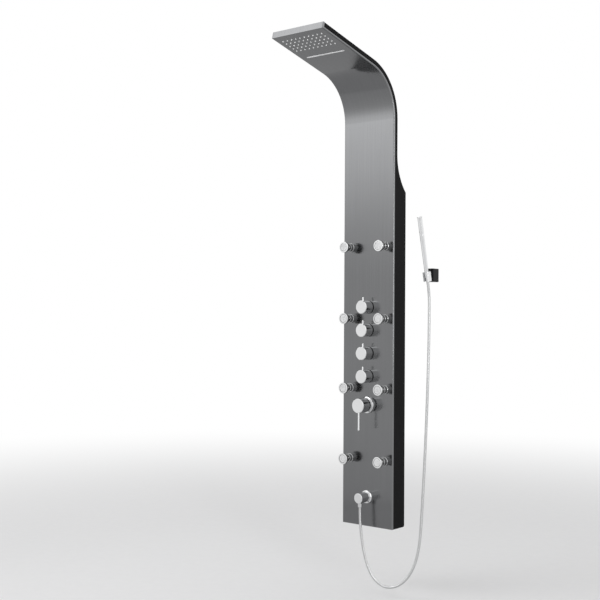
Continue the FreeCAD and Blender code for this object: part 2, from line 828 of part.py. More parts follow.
def diverter_base_ring():
    inner = cartridge_radius + bore_clearance
    return lathe([(inner, 0), (base_ring_radius, 0), (base_ring_radius, base_ring), (inner, base_ring)])


def diverter_lock_nut():
    inner = cartridge_radius + bore_clearance
    top = base_ring + lock_nut
    return lathe([(inner, base_ring), (lock_nut_radius, base_ring), (lock_nut_radius, top - 1),
                  (lock_nut_radius - 1, top), (inner, top)])


def diverter_knob():
    rear = base_ring + knob_gap
    socket = spindle_radius + bore_clearance
    inside = knob_radius - knob_wall
    knob = lathe([(0, knob_front), (knob_radius - knob_chamfer, knob_front),
                  (knob_radius, knob_front - knob_chamfer), (knob_radius, rear), (inside, rear),
                  (inside, knob_front - knob_front_wall), (knob_boss_radius, knob_front - knob_front_wall),
                  (knob_boss_radius, knob_boss_start), (socket, knob_boss_start), (socket, spindle_front),
                  (0, spindle_front)])
    return knob.cut(rod(pin_radius, (0, inside - 1, pin_height), (0, knob_radius + 1, pin_height)))


def diverter_pin():
    root = knob_radius - knob_wall
    shank = lathe([(0, root), (pin_radius, root), (pin_radius, pin_top - 1.0), (pin_radius - 1.0, pin_top),
                   (0, pin_top)])
    return placed(shank, FreeCAD.Placement(V(0, 0, pin_height), FreeCAD.Rotation(V(1, 0, 0), -90)))


def diverter_spindle():
    return rod(spindle_radius, (0, 0, -spindle_tail), (0, 0, spindle_front))


def valve_manifold():
    low = diverter_heights[0] - manifold_bottom_margin
    high = diverter_heights[-1] + manifold_top_margin
    bar = box(-manifold_half_width, manifold_half_width, back(manifold_front_depth),
              back(manifold_back_depth), up(low), up(high))
    bosses = [placed(rod(manifold_boss_radius, (0, 0, -manifold_front_depth), (0, 0, -sheet)), on_face(0, h))
              for h in diverter_heights]
    block = bar.multiFuse(bosses).removeSplitter()
    bores = [placed(rod(cartridge_radius + bore_clearance, (0, 0, -cartridge_tail), (0, 0, 0)), on_face(0, h))
             for h in diverter_heights]
    return block.cut(group(bores))


# ---- mixer -------------------------------------------------------------------
def mixer_body():
    depth = mixer_axis_depth
    body = rod(mixer_body_radius, (0, 0, -mixer_body_depth), (0, 0, -sheet))
    arms = rod(mixer_inlet_radius, (-mixer_inlet_reach, 0, -depth), (mixer_inlet_reach, 0, -depth))
    rise = diverter_heights[0] - manifold_bottom_margin - mixer_height
    outlet = rod(mixer_outlet_radius, (0, 0, -depth), (0, rise, -depth))
    body = joined([body, arms, outlet])
    body = body.cut(rod(shank_radius + bore_clearance, (0, 0, -shank_depth), (0, 0, 1)))
    return body.cut(rod(mixer_cartridge_radius + bore_clearance, (0, 0, -mixer_cartridge_depth), (0, 0, 1)))


def mixer_cartridge():
    front = mixer_pivot - carrier_half_length - carrier_end_gap
    body = lathe([(0, -mixer_cartridge_depth), (mixer_cartridge_radius, -mixer_cartridge_depth),
                  (mixer_cartridge_radius, -shank_depth - 0.2), (carrier_radius, -shank_depth - 0.2),
                  (carrier_radius, front), (0, front)])
    return body.cut(rod(stem_recess_radius, (0, 0, front - stem_recess), (0, 0, front + 1)))


def mixer_bonnet():
    """Threaded shank, visible sleeve and the dome that the handle rocks over."""
    bore = carrier_radius + carrier_clearance
    shoulder = mixer_pivot + carrier_half_length + carrier_end_gap
    top = mixer_pivot + dome_radius
    tube = lathe([(0, -shank_depth), (shank_radius, -shank_depth), (shank_radius, 0), (sleeve_radius, 0),
                  (sleeve_radius, sleeve_front), (dome_radius, sleeve_front), (dome_radius, mixer_pivot),
                  (0, mixer_pivot)])
    dome = Part.makeSphere(dome_radius, V(0, 0, mixer_pivot)).common(
        rod(dome_radius + 1, (0, 0, mixer_pivot), (0, 0, top + 1)))
    bonnet = joined([tube, dome])
    bonnet = bonnet.cut(rod(bore, (0, 0, -shank_depth - 1), (0, 0, shoulder)))
    return bonnet.cut(rod(dome_mouth_radius, (0, 0, 0), (0, 0, top + 1)))


def mixer_flange():
    inner = sleeve_radius + bore_clearance
    return lathe([(inner, 0), (mixer_ring_radius, 0), (mixer_ring_radius, mixer_ring - 2.5),
                  (mixer_ring_radius - 0.8, mixer_ring - 0.8), (mixer_ring_radius - 2.5, mixer_ring),
                  (inner, mixer_ring)])


def mixer_carrier():
    low, high = mixer_pivot - carrier_half_length, mixer_pivot + carrier_half_length
    ring = rod(carrier_radius, (0, 0, low), (0, 0, high))
    ring = ring.cut(rod(carrier_bore_radius, (0, 0, low - 1), (0, 0, high + 1)))
    reach = carrier_radius + 1
    return ring.cut(rod(stem_pin_radius + bore_clearance, (-reach, 0, mixer_pivot), (reach, 0, mixer_pivot)))


def mixer_stem():
    tail = rod(stem_tail_radius, (0, 0, mixer_pivot - stem_tail), (0, 0, mixer_pivot))
    shaft = rod(stem_radius, (0, 0, mixer_pivot - 4), (0, 0, stem_front))
    reach = carrier_radius - 0.6
    pin = rod(stem_pin_radius, (-reach, 0, mixer_pivot), (reach, 0, mixer_pivot))
    return joined([tail, shaft, pin])


def mixer_handle():
    cap = lathe([(0, handle_rear), (handle_radius, handle_rear), (handle_radius, handle_front - handle_chamfer),
                 (handle_radius - handle_chamfer, handle_front), (0, handle_front)])
    cap = cap.cut(rod(handle_cavity_radius, (0, 0, handle_rear - 1), (0, 0, mixer_pivot)))
    cap = cap.cut(Part.makeSphere(handle_cavity_radius, V(0, 0, mixer_pivot)))
    cap = cap.cut(rod(stem_radius + bore_clearance, (0, 0, mixer_pivot), (0, 0, stem_front + bore_clearance)))
    return cap.cut(rod(lever_radius + bore_clearance, (0, -lever_root + bore_clearance, lever_position),
                       (0, -handle_radius - 1, lever_position)))


def mixer_lever():
    bar = lathe([(0, lever_root), (lever_radius, lever_root), (lever_radius, lever_length - lever_tip_length),
                 (lever_tip_radius, lever_length - lever_tip_length + 1.5),
                 (lever_tip_radius, lever_length - 2), (lever_tip_radius - 1.6, lever_length),
                 (0, lever_length)])
    return placed(bar, FreeCAD.Placement(V(0, 0, lever_position), FreeCAD.Rotation(V(1, 0, 0), 90)))


def inlet_union(side):
    """Elbow on the mixer body's inlet, with a threaded tail that points at the wall."""
    x, depth = side * union_offset, mixer_axis_depth
    start = (side * mixer_inlet_reach, 0, -depth)
    thread_start = depth + union_reach
    end = thread_start + union_thread
    arm = rod(union_radius, start, (x, 0, -depth))
    ball = Part.makeSphere(union_radius, V(x, 0, -depth))
    leg = rod(union_radius, (x, 0, -depth), (x, 0, -thread_start))
    tail = rod(thread_radius, (x, 0, -thread_start), (x, 0, -end))
    elbow = joined([arm, ball, leg, tail])
    bore = rod(jet_bore_radius, (x, 0, -depth), (x, 0, -end - 1))
    elbow = elbow.cut(bore)
    return elbow.common(box(*sorted((start[0], side * 200)), -200, 200, -200, 200))


# ---- hose outlet ---------------------------------------------------------------
def outlet_body():
    body = lathe([(0, -shank_length), (thread_radius, -shank_length), (thread_radius, 0), (outlet_radius, 0),
                  (outlet_radius, outlet_front - outlet_chamfer),
                  (outlet_radius - outlet_chamfer, outlet_front), (0, outlet_front)])
    spigot = rod(spigot_radius, (0, 0, spigot_position), (0, -outlet_radius - spigot_length, spigot_position))
    body = joined([body, spigot])
    inner = tube_radius - tube_wall
    body = body.cut(rod(inner, (0, 0, -shank_length - 1), (0, 0, spigot_position)))
    return body.cut(rod(inner - 0.6, (0, 0, spigot_position),
                        (0, -outlet_radius - spigot_length - 1, spigot_position)))


def outlet_flange():
    """Ring with a domed front."""
    inner = outlet_radius + bore_clearance
    rim, crown = outlet_ring_radius - outlet_ring_neck, outlet_ring - outlet_ring_flat
    corners = [V(outlet_ring_neck, 0, outlet_ring), V(inner, 0, outlet_ring), V(inner, 0, 0),
               V(outlet_ring_radius, 0, 0), V(outlet_ring_radius, 0, outlet_ring_flat)]
    middle = V(outlet_ring_neck + rim * math.sqrt(0.5), 0, outlet_ring_flat + crown * math.sqrt(0.5))
    dome = Part.BSplineCurve()
    dome.interpolate([corners[-1], middle, corners[0]], InitialTangent=V(0, 0, 1), FinalTangent=V(-1, 0, 0))
    outline = Part.Wire([*Part.makePolygon(corners).Edges, dome.toShape()])
    return Part.Face(outline).revolve(V(0, 0, 0), V(0, 0, 1), 360)


def hose_nut_outlet():
    """Nut on the spigot; the hose leaves its lower end."""
    x, out, height = hose_route[0]
    top = outlet_height - outlet_radius - 0.3
    y = back(-spigot_position)
    nut = Part.makeCylinder(hose_nut_radius, top - height, V(x, y, up(height)))
    nut = nut.makeChamfer(0.9, [e for e in nut.Edges if e.Closed])
    return nut.cut(rod(spigot_radius + bore_clearance, (x, y, up(outlet_height - outlet_radius - spigot_length) - 0.1),
                       (x, y, up(top) + 1)))


# ---- hand shower ---------------------------------------------------------------
def on_stick():
    """At the clip's middle: local Z runs up the stick, local Y back to the wall."""
    return FreeCAD.Placement(V(holder_offset, -clip_wall_distance, up(clip_height)),
                             FreeCAD.Rotation(V(1, 0, 0), stick_lean))


def cone_radius(s, clearance=0.0):
    share = (s + cone_half_length) / (2 * cone_half_length)
    return cone_bottom_radius + (cone_top_radius - cone_bottom_radius) * share + clearance


def holder_base():
    """Block with a pocket in its rear, over a plate that is screwed to the wall."""
    low, high = (holder_centre_height - holder_block_height / 2, holder_centre_height + holder_block_height / 2)
    half = holder_width / 2
    block = box(holder_offset - half, holder_offset + half, -holder_depth, 0, up(low), up(high))
    edges = [e for e in block.Edges if e.BoundBox.YMin < -0.01]
    block = block.makeFillet(holder_edge_radius, edges)
    wall = holder_wall
    pocket = box(holder_offset - half + wall, holder_offset + half - wall, -holder_pocket, 1,
                 up(low + wall), up(high - wall))
    wall += holder_plate_clearance
    plate = box(holder_offset - half + wall, holder_offset + half - wall, -holder_plate, 0,
                up(low + wall), up(high - wall))
    for step in (-holder_screw_spacing / 2, holder_screw_spacing / 2):
        z = up(holder_centre_height + step)
        plate = plate.cut(rod(holder_screw_radius, (holder_offset, -holder_plate - 1, z), (holder_offset, 1, z)))
    return group([block.cut(pocket), plate])


def holder_clip():
    half = clip_length / 2
    ring = rod(clip_radius, (0, 0, -half), (0, 0, half))
    neck = placed(box(-clip_neck_width / 2, clip_neck_width / 2, 0, clip_wall_distance,
                      -clip_neck_height / 2, clip_neck_height / 2),
                  FreeCAD.Placement(V(holder_offset, -clip_wall_distance, up(holder_centre_height)),
                                    FreeCAD.Rotation()))
    clip = joined([placed(ring, on_stick()), neck])
    clip = clip.common(box(0, 2 * holder_offset, -200, -holder_depth, up(0), up(2000)))
    bore = lathe([(0, -half - 1), (cone_radius(-half - 1, cone_clearance), -half - 1),
                  (cone_radius(half + 1, cone_clearance), half + 1), (0, half + 1)])
    mouth = box(-clip_gap / 2, clip_gap / 2, -clip_radius - 1, 0, -half - 1, half + 1)
    return clip.cut(placed(bore, on_stick())).cut(placed(mouth, on_stick()))


def hose_nut_handset():
    s = cone_half_length
    nut = lathe([(0, -s), (cone_radius(-s), -s), (cone_radius(s), s), (0, s)])
    nut = nut.cut(rod(ferrule_neck_radius + swivel_clearance, (0, 0, -s - 1), (0, 0, -s + ferrule_neck + 0.3)))
    return placed(nut, on_stick())


def hose_ferrule():
    s = -cone_half_length - cone_clearance
    ferrule = lathe([(0, s - ferrule_length), (ferrule_radius - 0.6, s - ferrule_length),
                     (ferrule_radius, s - ferrule_length + 0.6), (ferrule_radius, s), (ferrule_neck_radius, s),
                     (ferrule_neck_radius, -cone_half_length + ferrule_neck), (0, -cone_half_length + ferrule_neck)])
    return placed(ferrule, on_stick())


def handset_grip():
    start = cone_half_length
    groove = grip_end - joint_groove
    inner = head_radius - joint_groove_depth - 0.8
    grip = lathe([(0, start), (grip_bottom_radius - 0.5, start), (grip_bottom_radius, start + 0.8),
                  (grip_top_radius, groove), (inner, groove), (inner, grip_end), (0, grip_end)])
    return placed(grip, on_stick())


def handset_head():
    flare = head_end - head_flare_length
    head = lathe([(0, grip_end), (head_radius, grip_end), (head_radius, flare), (head_flare_radius, head_end - 1.0),
                  (head_flare_radius - 0.5, head_end), (head_flare_radius - 1.8, head_end),
                  (head_flare_radius - 2.6, head_end - 0.8), (0, head_end - 0.8)])
    half = spray_plate_width / 2
    low, high = spray_plate_span()
    pocket = box(-half, half, spray_plate_seat, head_flare_radius + 1, low, high)
    return placed(head.cut(pocket), on_stick())


def spray_plate_span():
    low = grip_end + (head_end - head_flare_length - grip_end - spray_plate_length) / 2
    return low, low + spray_plate_length


def handset_spray_plate():
    half = spray_plate_width / 2 - 0.1
    low, high = spray_plate_span()
    plate = box(-half, half, spray_plate_seat, spray_plate_seat + spray_plate_thickness, low + 0.1, high - 0.1)
    return placed(plate.makeChamfer(0.4, [e for e in plate.Edges if e.BoundBox.YMin > spray_plate_seat + 0.1]),
                  on_stick())


# ---- hose ----------------------------------------------------------------------
def hose():
    end = -cone_half_length - cone_clearance - ferrule_length
    points = [V(x, -out, up(h)) for x, out, h in hose_route]
    points += [on_stick().multVec(V(0, 0, s)) for s in (end - hose_end_run, end)]
    edges, here, radii = [], points[0], []
    for i in range(1, len(points) - 1):
        before, after = points[i] - points[i - 1], points[i + 1] - points[i]
        half_turn = before.getAngle(after) / 2
        radius = 0.45 * min(before.Length, after.Length) / math.tan(half_turn)
        radii.append(round(radius, 1))
        cut = radius * math.tan(half_turn)
        before, after = before.normalize(), after.normalize()
        a, b = points[i] - before * cut, points[i] + after * cut
        inward = (after - before).normalize()
        middle = points[i] + inward * (radius / math.cos(half_turn) - radius)
        edges += [line(here, a), arc(a, middle, b)]
        here = b
    edges.append(line(here, points[-1]))
    path = Part.Wire(edges)
    section = Part.Wire(Part.makeCircle(hose_radius, points[0], points[1] - points[0]))
    tube = path.makePipeShell([section], True, False)
    ideal = math.pi * hose_radius ** 2 * path.Length
    print("hose bend radii:", radii)
    print("hose length %.1f, volume %.0f, section x length %.0f" % (path.Length, tube.Volume, ideal))
    return tube


def on_panel(shape, places):
    return group([placed(shape, on_face(x, height)) for x, height in places])


def build():
    right = side_skin()
    centres = [(0, height) for height in diverter_heights]
    mixer_at = on_face(0, mixer_height)
    outlet_at = on_face(0, outlet_height)
    nodes = {
        "face_panel": face_panel(),
        "side_skin_right": right,
        "side_skin_left": mirrored(right),
        "arm_back_cover": arm_back_cover(),
        "bottom_cover": bottom_cover(),
        "upper_wall_bracket": wall_bracket(upper_bracket_height),
        "lower_wall_bracket": wall_bracket(lower_bracket_height),
        "hanger_rails": group([hanger_rail(upper_bracket_height), hanger_rail(lower_bracket_height)]),
        "cover_screws": cover_screws(),
        "rain_chamber": rain_chamber(),
        "rain_nozzle_mat": rain_nozzle_mat(),
        "waterfall_spout": waterfall_spout(),
        "valve_manifold": valve_manifold(),
        "feed_tubes": feed_tubes(),
        "diverter_cartridges": on_panel(diverter_cartridge(), centres),
        "diverter_lock_nuts": on_panel(diverter_lock_nut(), centres),
        "diverter_base_rings": on_panel(diverter_base_ring(), centres),
        "mixer_body": placed(mixer_body(), mixer_at),
        "mixer_cartridge": placed(mixer_cartridge(), mixer_at),
        "mixer_bonnet": placed(mixer_bonnet(), mixer_at),
        "mixer_flange": placed(mixer_flange(), mixer_at),
        "mixer_carrier": placed(mixer_carrier(), mixer_at),
        "mixer_stem": placed(mixer_stem(), mixer_at),
        "mixer_handle": placed(mixer_handle(), mixer_at),
        "mixer_lever": placed(mixer_lever(), mixer_at),
        "inlet_unions": group([placed(inlet_union(side), mixer_at) for side in (-1, 1)]),
        "jet_bodies": on_panel(jet_body(), jet_places()),
        "jet_collars": on_panel(jet_collar(), jet_places()),
        "back_nuts": on_panel(back_nut(), jet_places() + [(0, outlet_height)]),
        "outlet_body": placed(outlet_body(), outlet_at),
        "outlet_flange": placed(outlet_flange(), outlet_at),
        "hose_nut_outlet": hose_nut_outlet(),
        "hose": hose(),
        "hose_ferrule": hose_ferrule(),
        "hose_nut_handset": hose_nut_handset(),
        "handset_grip": handset_grip(),
        "handset_head": handset_head(),
        "handset_spray_plate": handset_spray_plate(),
        "holder_base": holder_base(),
        "holder_clip": holder_clip(),
    }
    for number, height in enumerate(diverter_heights, start=1):
        nodes["diverter_knob_%d" % number] = placed(diverter_knob(), on_face(0, height))
        nodes["diverter_pin_%d" % number] = placed(diverter_pin(), on_face(0, height))
        nodes["diverter_spindle_%d" % number] = placed(diverter_spindle(), on_face(0, height))
    for number, (x, height) in enumerate(jet_places(), start=1):
        nodes["jet_head_%d" % number] = placed(jet_head(), on_face(x, height))
    return nodes


os.makedirs("parts", exist_ok=True)
for name, shape in build().items():
    if not shape.isValid():
        raise ValueError("%s is not a valid shape" % name)
    shape.exportStep("parts/%s.step" % name)
    print(name, len(shape.Solids), round(shape.Volume))
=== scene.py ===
"""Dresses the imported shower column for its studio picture. All lengths are in metres."""
import math

import bmesh
import bpy
import numpy as np
from mathutils import Matrix, Vector


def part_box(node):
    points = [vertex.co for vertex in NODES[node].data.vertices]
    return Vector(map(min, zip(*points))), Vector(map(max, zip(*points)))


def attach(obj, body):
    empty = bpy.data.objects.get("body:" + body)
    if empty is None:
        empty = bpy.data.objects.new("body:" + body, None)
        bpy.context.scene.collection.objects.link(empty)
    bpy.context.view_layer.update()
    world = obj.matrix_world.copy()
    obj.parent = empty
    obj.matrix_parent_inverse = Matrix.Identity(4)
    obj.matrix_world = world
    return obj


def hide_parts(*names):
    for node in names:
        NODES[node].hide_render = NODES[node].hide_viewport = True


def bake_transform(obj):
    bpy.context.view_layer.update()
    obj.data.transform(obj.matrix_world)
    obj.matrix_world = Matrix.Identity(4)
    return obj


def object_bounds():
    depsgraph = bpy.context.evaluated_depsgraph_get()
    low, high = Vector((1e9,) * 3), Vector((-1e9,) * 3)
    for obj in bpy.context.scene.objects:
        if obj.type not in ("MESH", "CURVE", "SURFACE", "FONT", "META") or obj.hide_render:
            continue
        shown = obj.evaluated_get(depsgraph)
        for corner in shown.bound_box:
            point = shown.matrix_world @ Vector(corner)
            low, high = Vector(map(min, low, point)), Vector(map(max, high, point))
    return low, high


bl_info = {
    "name": "Shower column studio",
    "version": (1, 0, 0),
    "blender": (4, 5, 0),
    "location": "3D View > Sidebar > Shower",
    "description": "Finishes, fine parts, hose and studio for a wall-hung shower column",
    "category": "Object",
}

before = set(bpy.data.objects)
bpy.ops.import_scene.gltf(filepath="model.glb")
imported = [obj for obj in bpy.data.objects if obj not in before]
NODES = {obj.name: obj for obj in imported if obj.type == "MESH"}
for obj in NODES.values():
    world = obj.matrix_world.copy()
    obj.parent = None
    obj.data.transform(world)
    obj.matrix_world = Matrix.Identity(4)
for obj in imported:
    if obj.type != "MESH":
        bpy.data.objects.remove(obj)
CAD_LOW, CAD_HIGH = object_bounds()


def numbered(stem, count):
    """Names of like nodes, counted from 1."""
    return [f"{stem}_{number}" for number in range(1, count + 1)]


JETS = numbered("jet_head", 8)
KNOBS = numbered("diverter_knob", 4)
PINS = numbered("diverter_pin", 4)
SPINDLES = numbered("diverter_spindle", 4)


# ---- measures of the fine parts ----------------------------------------------
def straight(start, end, steps):
    """Points of an outline along a straight length, without the first."""
    shares = [step / steps for step in range(1, steps + 1)]
    return [tuple(a + (b - a) * share for a, b in zip(start, end)) for share in shares]


# An outline is pairs of radius and distance along a turned part's axis.
JET_DISC = ((0.0, -0.0007), (0.0127, -0.0007), (0.0127, -0.00045), (0.0121, -0.0001),
            (0.0111, -0.0001), (0.0107, -0.0003), (0.0, -0.0003))
# a dark ring in the gap round the spray face: rubber, and painted shade of the gap
JET_SEAL_GAP_SHADE = ((0.0132, -0.0012), (0.0143, -0.0012), (0.0143, -0.0008), (0.0138, -0.0006),
            (0.0132, -0.0008), (0.0132, -0.0012))
JET_SEGMENTS = 64
JET_NOZZLES = ((0.0, 1), (0.0042, 6), (0.0084, 12))     # radius of each ring, and its count
JET_NOZZLE_FOOT = -0.0003               # where the nozzles stand, from the jet's front
JET_NOZZLE_HEIGHT = 0.0013

NOZZLE_TAPER = 0.6                      # radius of a nozzle's tip, as a share of its foot's

STICK_LEAN = 13.45                      # degrees that the hand shower leans out from the wall
STICK_MIDDLE = (0.2275, -0.050, -0.213)     # on its axis, at the middle of the clip
STICK_SEGMENTS = 96
STICK_FOOT = [(0.0, 0.0170), (0.0062, 0.0170), (0.0067, 0.0173), (0.0069, 0.0180)]
STICK_GRIP = straight((0.0069, 0.0180), (0.0076, 0.1450), 12)
STICK_NECK = [(0.00755, 0.1457), (0.0072, 0.1458), (0.0061, 0.1458), (0.0061, 0.1474),
              (0.0074, 0.1474), (0.0078, 0.1478)]
STICK_HEAD = straight((0.0078, 0.1478), (0.0078, 0.1996), 6)
STICK_TIP = [(0.0080, 0.2010), (0.0087, 0.2033), (0.0087, 0.2038), (0.0083, 0.2045),
             (0.0076, 0.2046), (0.0069, 0.2045), (0.0061, 0.2038), (0.0, 0.2038)]
# the seat of the spray plate, as a box in the hand shower's own axes
SEAT_ACROSS, SEAT_DEEP, SEAT_ALONG = (-0.0045, 0.0045), (0.0064, 0.0097), (0.1535, 0.1935)

PLATE_ROWS = 11                         # of nozzles along the spray plate
PLATE_ROW_PITCH = 0.0034
PLATE_COLUMN_PITCH = 0.0027
PLATE_NOZZLE_HEIGHT = 0.0009

HEAD_RISE = 14.0                        # degrees by which the rain head points up
SCREW_OUTLINE = ((0.0, -0.0072), (0.0019, -0.0072), (0.0019, -0.0022), (0.0037, -0.0022),
                 (0.0038, -0.0014), (0.0033, -0.0005), (0.0022, 0.0), (0.0, 0.0))
SCREW_SEGMENTS = 32
RECESS_REACH, RECESS_WIDTH, RECESS_DEPTH = 0.0021, 0.0005, 0.0012     # half sizes of the cross

CREASE = math.radians(32.0)             # an edge sharper than this stays crisp
FOLD_INSET = 0.0036                     # from the face's widest point to where the painted highlight along its long edge starts

# ---- the hose -----------------------------------------------------------------
# the route of its centre line, from the outlet's nut to the hand shower
HOSE_ROUTE = (
    (0.0, -0.116, -1.009),
    (0.0, -0.116, -1.044),
    (0.004, -0.1164, -1.092),
    (0.0125, -0.1146, -1.148),
    (0.026, -0.1108, -1.203),
    (0.048, -0.1046, -1.248),
    (0.080, -0.095, -1.273),
    (0.1145, -0.0845, -1.2745),
    (0.146, -0.074, -1.258),
    (0.173, -0.0645, -1.225),
    (0.1928, -0.0572, -1.177),
    (0.2045, -0.0535, -1.118),
    (0.2105, -0.052, -1.040),
    (0.215, -0.0506, -0.955),
    (0.2198, -0.049, -0.855),
    (0.2236, -0.0468, -0.745),
    (0.2262, -0.0436, -0.630),
    (0.2275, -0.0402, -0.520),
    (0.228, -0.0374, -0.420),
    (0.2278, -0.0358, -0.330),
    (0.2275, -0.03597, -0.27165),
    (0.2275, -0.04458, -0.23566),
)
HOSE_AROUND = 18                        # points round the hose
HOSE_RINGS = 8                          # rings of points in one turn of the armour
HOSE_JOINT_SHARE = 0.22                 # half the width of a joint, as a share of a turn
HOSE_PLAIN_END = 0.004                  # where the joints fade out, inside the nuts

# ---- lamps, floor and camera ----------------------------------------------------
# each lamp's place, the point that it faces, and its width and height
KEY_LAMP = ((-2.4, -3.0, 2.7), (0.0, -0.1, -0.3), (1.9, 1.9))
STRIP_LAMP = ((3.3, -2.0, 0.5), (0.0, -0.1, 0.3), (0.6, 2.4))
SOFTBOX = ((-0.93, -1.38, 0.02), (0.0, -0.075, 0.02), (1.8, 2.6))

WORLD_LIGHT = 0.74                      # what the backdrop lends to plain surfaces; 1 is white
FLOOR_HALF = 14.0
FLOOR_FADE = (1.2, 5.2)                 # how far out the matt floor starts and ends its fade
FLOOR_GLOW = 0.88                       # of the far floor in lighting; the camera sees it white

CAMERA_PLACE = (2.1595, -3.0377, -0.3387)
CAMERA_YAW, CAMERA_PITCH, CAMERA_ROLL = (math.radians(turn) for turn in (39.814, 0.711, 0.342))
CAMERA_FRAME = 36.0                     # width that the lens is quoted for, in millimetres
CAMERA_FAR = 60.0


# ---- shader graphs -------------------------------------------------------------
class Wire:
    """An output socket that takes part in Python expressions."""

    def __init__(self, graph, socket):
        self.graph = graph
        self.socket = socket

    def maths(self, operation, *others, flip=False):
        """One Math node; flip puts this wire last."""
        values = [self, *others]
        if flip:
            values = values[::-1]
        node = self.graph.add("ShaderNodeMath", {"operation": operation}, dict(enumerate(values)))
        return Wire(self.graph, node.outputs[0])

    def __add__(self, other):
        return self.maths("ADD", other)

    __radd__ = __add__

    def __sub__(self, other):
        return self.maths("SUBTRACT", other)

    def __rsub__(self, other):
        return self.maths("SUBTRACT", other, flip=True)

    def __mul__(self, other):
        return self.maths("MULTIPLY", other)

    __rmul__ = __mul__

    def __pow__(self, other):
        return self.maths("POWER", other)

    def at_most(self, other):
        return self.maths("MINIMUM", other)

    def at_least(self, other):
        return self.maths("MAXIMUM", other)

    def eased(self, low, high, start=0.0, end=1.0):
        """start below low, end above high, and smooth between them."""
        node = self.graph.add("ShaderNodeMapRange", {"interpolation_type": "SMOOTHSTEP"},
                              {0: self, 1: low, 2: high, 3: start, 4: end})
        return Wire(self.graph, node.outputs[0])


class Graph:
    """Adds nodes to one node tree."""

    def __init__(self, tree):
        self.tree = tree
        tree.nodes.clear()

    def add(self, kind, settings=None, inputs=None):
        """A node of one kind, its settings made first, then its sockets' values or links."""
        node = self.tree.nodes.new(kind)
        for name, value in (settings or {}).items():
            setattr(node, name, value)
        for name, value in (inputs or {}).items():
            if isinstance(value, Wire):
                self.tree.links.new(value.socket, node.inputs[name])
            else:
                node.inputs[name].default_value = value
        return node

    def out(self, kind, output=0, settings=None, inputs=None):
        """One output of a new node, by its number or name."""
        return Wire(self, self.add(kind, settings, inputs).outputs[output])

    def place(self):
        """Position on the piece, in metres, as it was modelled."""
        return self.out("ShaderNodeTexCoord", "Object")

    def ray(self, kind):
        """1 for one kind of ray, such as Is Camera Ray, and 0 for the others."""
        return self.out("ShaderNodeLightPath", kind)

    def axes(self, vector):
        """X, Y and Z of a vector."""
        node = self.add("ShaderNodeSeparateXYZ", None, {0: vector})
        return [Wire(self, output) for output in node.outputs]

    def stretched(self, vector, scale):
        """The vector with each axis scaled on its own."""
        return self.out("ShaderNodeVectorMath", 0, {"operation": "MULTIPLY"},
                        {0: vector, 1: scale})

    def noise(self, vector, scale, detail=2.0, roughness=0.5):
        return self.out("ShaderNodeTexNoise", 0, None, {
            "Vector": vector, "Scale": scale, "Detail": detail, "Roughness": roughness})

    def cells(self, vector, scale, output="Distance"):
        """Distance to the middle of the nearest cell, or the cell's own Color."""
        return self.out("ShaderNodeTexVoronoi", output, {"feature": "F1"},
                        {"Vector": vector, "Scale": scale})

    def mixed(self, factor, first, second):
        """Between two colours; the numbers are the Mix node's colour sockets."""
        return self.out("ShaderNodeMix", 2, {"data_type": "RGBA"},
                        {0: factor, 6: first, 7: second})

    def bump(self, height, strength, distance):
        return self.out("ShaderNodeBump", 0, None, {
            "Height": height, "Strength": strength, "Distance": distance})


def tint(colour, share=1.0):
    """The colour made lighter or darker, with its alpha."""
    return tuple(min(1.0, channel * share) for channel in colour[:3]) + (1.0,)


def finish_named(name, build, **fixed):
    """A material whose varying values come from build(graph) as {socket: wire}."""
    material = bpy.data.materials.new(name)
    material.use_nodes = True
    graph = Graph(material.node_tree)
    shader = graph.add("ShaderNodeBsdfPrincipled", None, {**fixed, **build(graph)})
    graph.add("ShaderNodeOutputMaterial", None, {"Surface": Wire(graph, shader.outputs[0])})
    return material


# ---- finishes --------------------------------------------------------------------
# A noise's scale is in grains per metre, and a bump's distance is its depth in metres.
def brushed_steel(name, colour, across=(1.0, 0.0, 0.0), rough=0.19, fold=None):
    """Steel with fine lines along its length; across is the axis that the lines cross.

    fold is the distance from the middle at which a painted highlight, a lighter band along the
    folded long edge, starts.
    """
    def build(g):
        place = g.place()
        fine = [3400.0 if part else 14.0 for part in across]
        coarse = [620.0 if part else 3.0 for part in across]
        lines = g.noise(g.stretched(place, fine), 1.0, 1.0)
        streaks = g.noise(g.stretched(place, coarse), 1.0, 2.0)
        clouds = g.noise(place, 4.0, 3.0)
        smudge = g.noise(place, 23.0, 4.0, 0.6).eased(0.52, 0.72)
        shade = g.mixed(streaks.eased(0.3, 0.7), tint(colour, 0.96), tint(colour, 1.04))
        shade = g.mixed(clouds.eased(0.35, 0.7) * 0.35, shade, tint(colour, 0.9))
        if fold:
            x = g.axes(place)[0]
            # painted highlight: the colour turns lighter along both folded long edges, where the
            # fold catches light
            painted_fold_highlight = x.at_least(0 - x).eased(fold, fold + 0.0014) * (0.75 + streaks * 0.5)
            shade = g.mixed(painted_fold_highlight.at_most(1.0), shade, tint(colour, 1.3))
        roughness = rough + (lines - 0.5) * 0.05 + (clouds - 0.5) * 0.05 + smudge * 0.03
        height = lines * 0.7 + streaks * 0.3
        return {"Base Color": shade, "Roughness": roughness,
                "Normal": g.bump(height, 0.22, 0.00002)}
    return finish_named(name, build, Metallic=1.0, Anisotropic=0.8)


